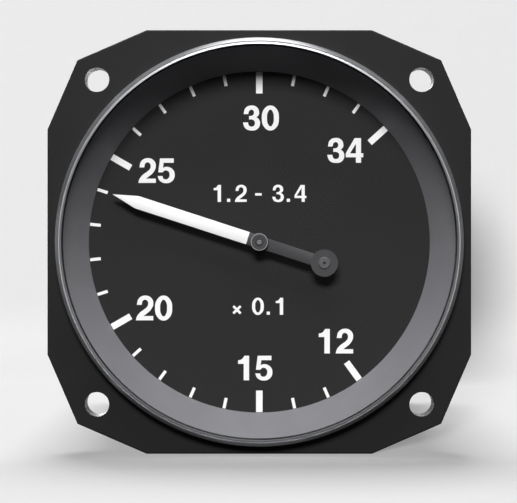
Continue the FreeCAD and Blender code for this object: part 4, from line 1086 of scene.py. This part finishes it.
class INDICATOR_OT_stage(Piece):
    """Pale floor and wall, soft lights, world and camera"""

    bl_idname = "indicator.stage"
    bl_label = "Stage"

    def make(self, scene):
        stage = scene.indicator_stage
        backdrop = self.backdrop(stage)
        for side in (-1, 1):
            self.dark_card(side)
        self.lights(stage, backdrop)
        self.world(scene, stage)
        self.camera(scene, stage)

    def card(self, name, corners, faces, material):
        """Flat stock that stands on the stage."""
        mesh = bpy.data.meshes.new(name)
        mesh.from_pydata(corners, [], faces)
        mesh.materials.append(material)
        mesh.shade_smooth()
        thing = bpy.data.objects.new(name, mesh)
        bpy.context.scene.collection.objects.link(thing)
        return thing

    def sheet(self, name, profile, material):
        """A sheet of paper that runs along a profile of (y, z), as wide as it reaches."""
        corners = [(x, y, z) for y, z in profile for x in (-SHEET_REACH, SHEET_REACH)]
        faces = [(i, i + 1, i + 3, i + 2) for i in range(0, len(corners) - 2, 2)]
        return self.card(name, corners, faces, material)

    def backdrop(self, stage):
        """The floor, and a wall right behind the connector with a bend at its foot."""
        level = CAD_BOX[0].z
        place = CAD_BOX[1].y + stage.wall
        bend = 25 * MM
        paper = backdrop_paper(stage)
        floor = self.sheet("floor", [(-SHEET_REACH, level), (SHEET_REACH, level)], paper)
        start = level + 0.02 * MM
        curve = [math.pi / 2 * i / 12 for i in range(13)]
        profile = [(place - bend + bend * math.sin(a), start + bend - bend * math.cos(a)) for a in curve]
        profile.append((place, SHEET_REACH))
        wall = self.sheet("wall", profile, paper)
        # The lamps behind it light the rear end, the rim and the floor as if it weren't there
        wall.visible_shadow = False
        wall.visible_glossy = False
        return [floor, wall]

    def dark_card(self, side):
        """A black card beside the part, that only bright metal shows: it gives the rim its dark sides."""
        material = surface(
            "black_velvet_card", linear("#0C0C0C"), linear("#101010"), 9 * MM, 1 * MM, (0.9, 1.0), 0.0
        )
        x = side * 180 * MM
        near, far = -60 * MM, 100 * MM
        bottom = CAD_BOX[0].z
        corners = [(x, y, z) for y, z in band(near, far, bottom, -bottom * 3)]
        thing = self.card("dark_card", corners, [(0, 1, 2, 3)], material)
        for sight in ("camera", "diffuse", "transmission", "volume_scatter", "shadow"):
            setattr(thing, f"visible_{sight}", False)

    def lights(self, stage, backdrop):
        # Name, azimuth, elevation, distance, width, height and level
        area_lamp("key", -4, 36, 0.9, 0.45, 0.2, stage.key)
        area_lamp("steep", 0, 72, 0.6, 0.5, 0.12, stage.top)
        area_lamp("rear", -178, 55, 1.0, 1.7, 0.4, stage.rear)
        area_lamp("back", -150, 28, 1.2, 0.7, 0.5, stage.back)
        # Two lamps for the paper alone draw its shadow to the lower right on an even tone
        drawn = [
            area_lamp("low", -8.5, 9, 1.6, 0.17, 0.17, stage.low),
            area_lamp("drop", -170, 70, 1.0, 0.5, 0.4, stage.drop),
        ]
        for lamp in [thing for thing in bpy.context.scene.objects if thing.type == "LIGHT"]:
            linked = bpy.data.collections.new(f"{lamp.name}_light")
            lamp.light_linking.receiver_collection = linked
            for sheet in backdrop:
                linked.objects.link(sheet)
            for entry in linked.collection_objects:
                entry.light_linking.link_state = "INCLUDE" if lamp in drawn else "EXCLUDE"

    def world(self, scene, stage):
        world = bpy.data.worlds.new("studio")
        scene.world = world
        world.use_nodes = True
        world.node_tree.nodes.clear()
        dim = add(world, "ShaderNodeBackground", {"Color": linear("#FFFFFF"), "Strength": stage.ambient})
        pale = add(world, "ShaderNodeBackground", {"Color": list(stage.backdrop), "Strength": 1.0})
        amount = (seen(world, PALE_IN_METAL), "Value")
        mixed = add(
            world,
            "ShaderNodeMixShader",
            {0: amount, 1: (dim, "Background"), 2: (pale, "Background")},
        )
        add(world, "ShaderNodeOutputWorld", {"Surface": (mixed, "Shader")})

    def camera(self, scene, stage):
        camera = bpy.data.cameras.new("camera")
        camera.sensor_width = 36
        camera.lens = camera.sensor_width * stage.distance / stage.picture
        # The dial's middle is 0.8 pixels beside that of the picture and 9.5 above it
        pixels_wide = 517
        camera.shift_x = -0.8 / pixels_wide
        camera.shift_y = -9.5 / pixels_wide
        thing = bpy.data.objects.new("camera", camera)
        thing.location = (0, front("mounting_flange") - stage.distance, 0)
        thing.rotation_euler = (math.pi / 2, 0, 0)
        scene.collection.objects.link(thing)
        scene.camera = thing
        scene.view_settings.view_transform = "Standard"


class INDICATOR_PT_panel(bpy.types.Panel):
    """Buttons for each piece, with their settings"""

    bl_label = "Pressure ratio indicator"
    bl_space_type = "VIEW_3D"
    bl_region_type = "UI"
    bl_category = "Indicator"

    def draw(self, context):
        for operator in operators():
            self.layout.operator(operator.bl_idname)
        for attribute in GROUPS:
            group = getattr(context.scene, attribute)
            for name in group.bl_rna.properties.keys():
                if name not in ("rna_type", "name"):
                    self.layout.prop(group, name)


GROUPS = {
    "indicator_dial": DialSettings,
    "indicator_finish": FinishSettings,
    "indicator_stage": StageSettings,
}


def register():
    for name, group in GROUPS.items():
        bpy.utils.register_class(group)
        setattr(bpy.types.Scene, name, bpy.props.PointerProperty(type=group))
    for operator in operators():
        bpy.utils.register_class(operator)
    bpy.utils.register_class(INDICATOR_PT_panel)


def unregister():
    bpy.utils.unregister_class(INDICATOR_PT_panel)
    for operator in operators():
        bpy.utils.unregister_class(operator)
    for name, group in GROUPS.items():
        delattr(bpy.types.Scene, name)
        bpy.utils.unregister_class(group)


def main():
    register()
    bpy.ops.indicator.finishes()
    bpy.ops.indicator.rim()
    bpy.ops.indicator.scale()
    bpy.ops.indicator.numerals()
    bpy.ops.indicator.pointer()
    bpy.ops.indicator.hub()
    bpy.ops.indicator.screws()
    bpy.ops.indicator.connector()
    bpy.ops.indicator.stage()
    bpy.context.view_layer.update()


if __name__ == "__main__":
    main()
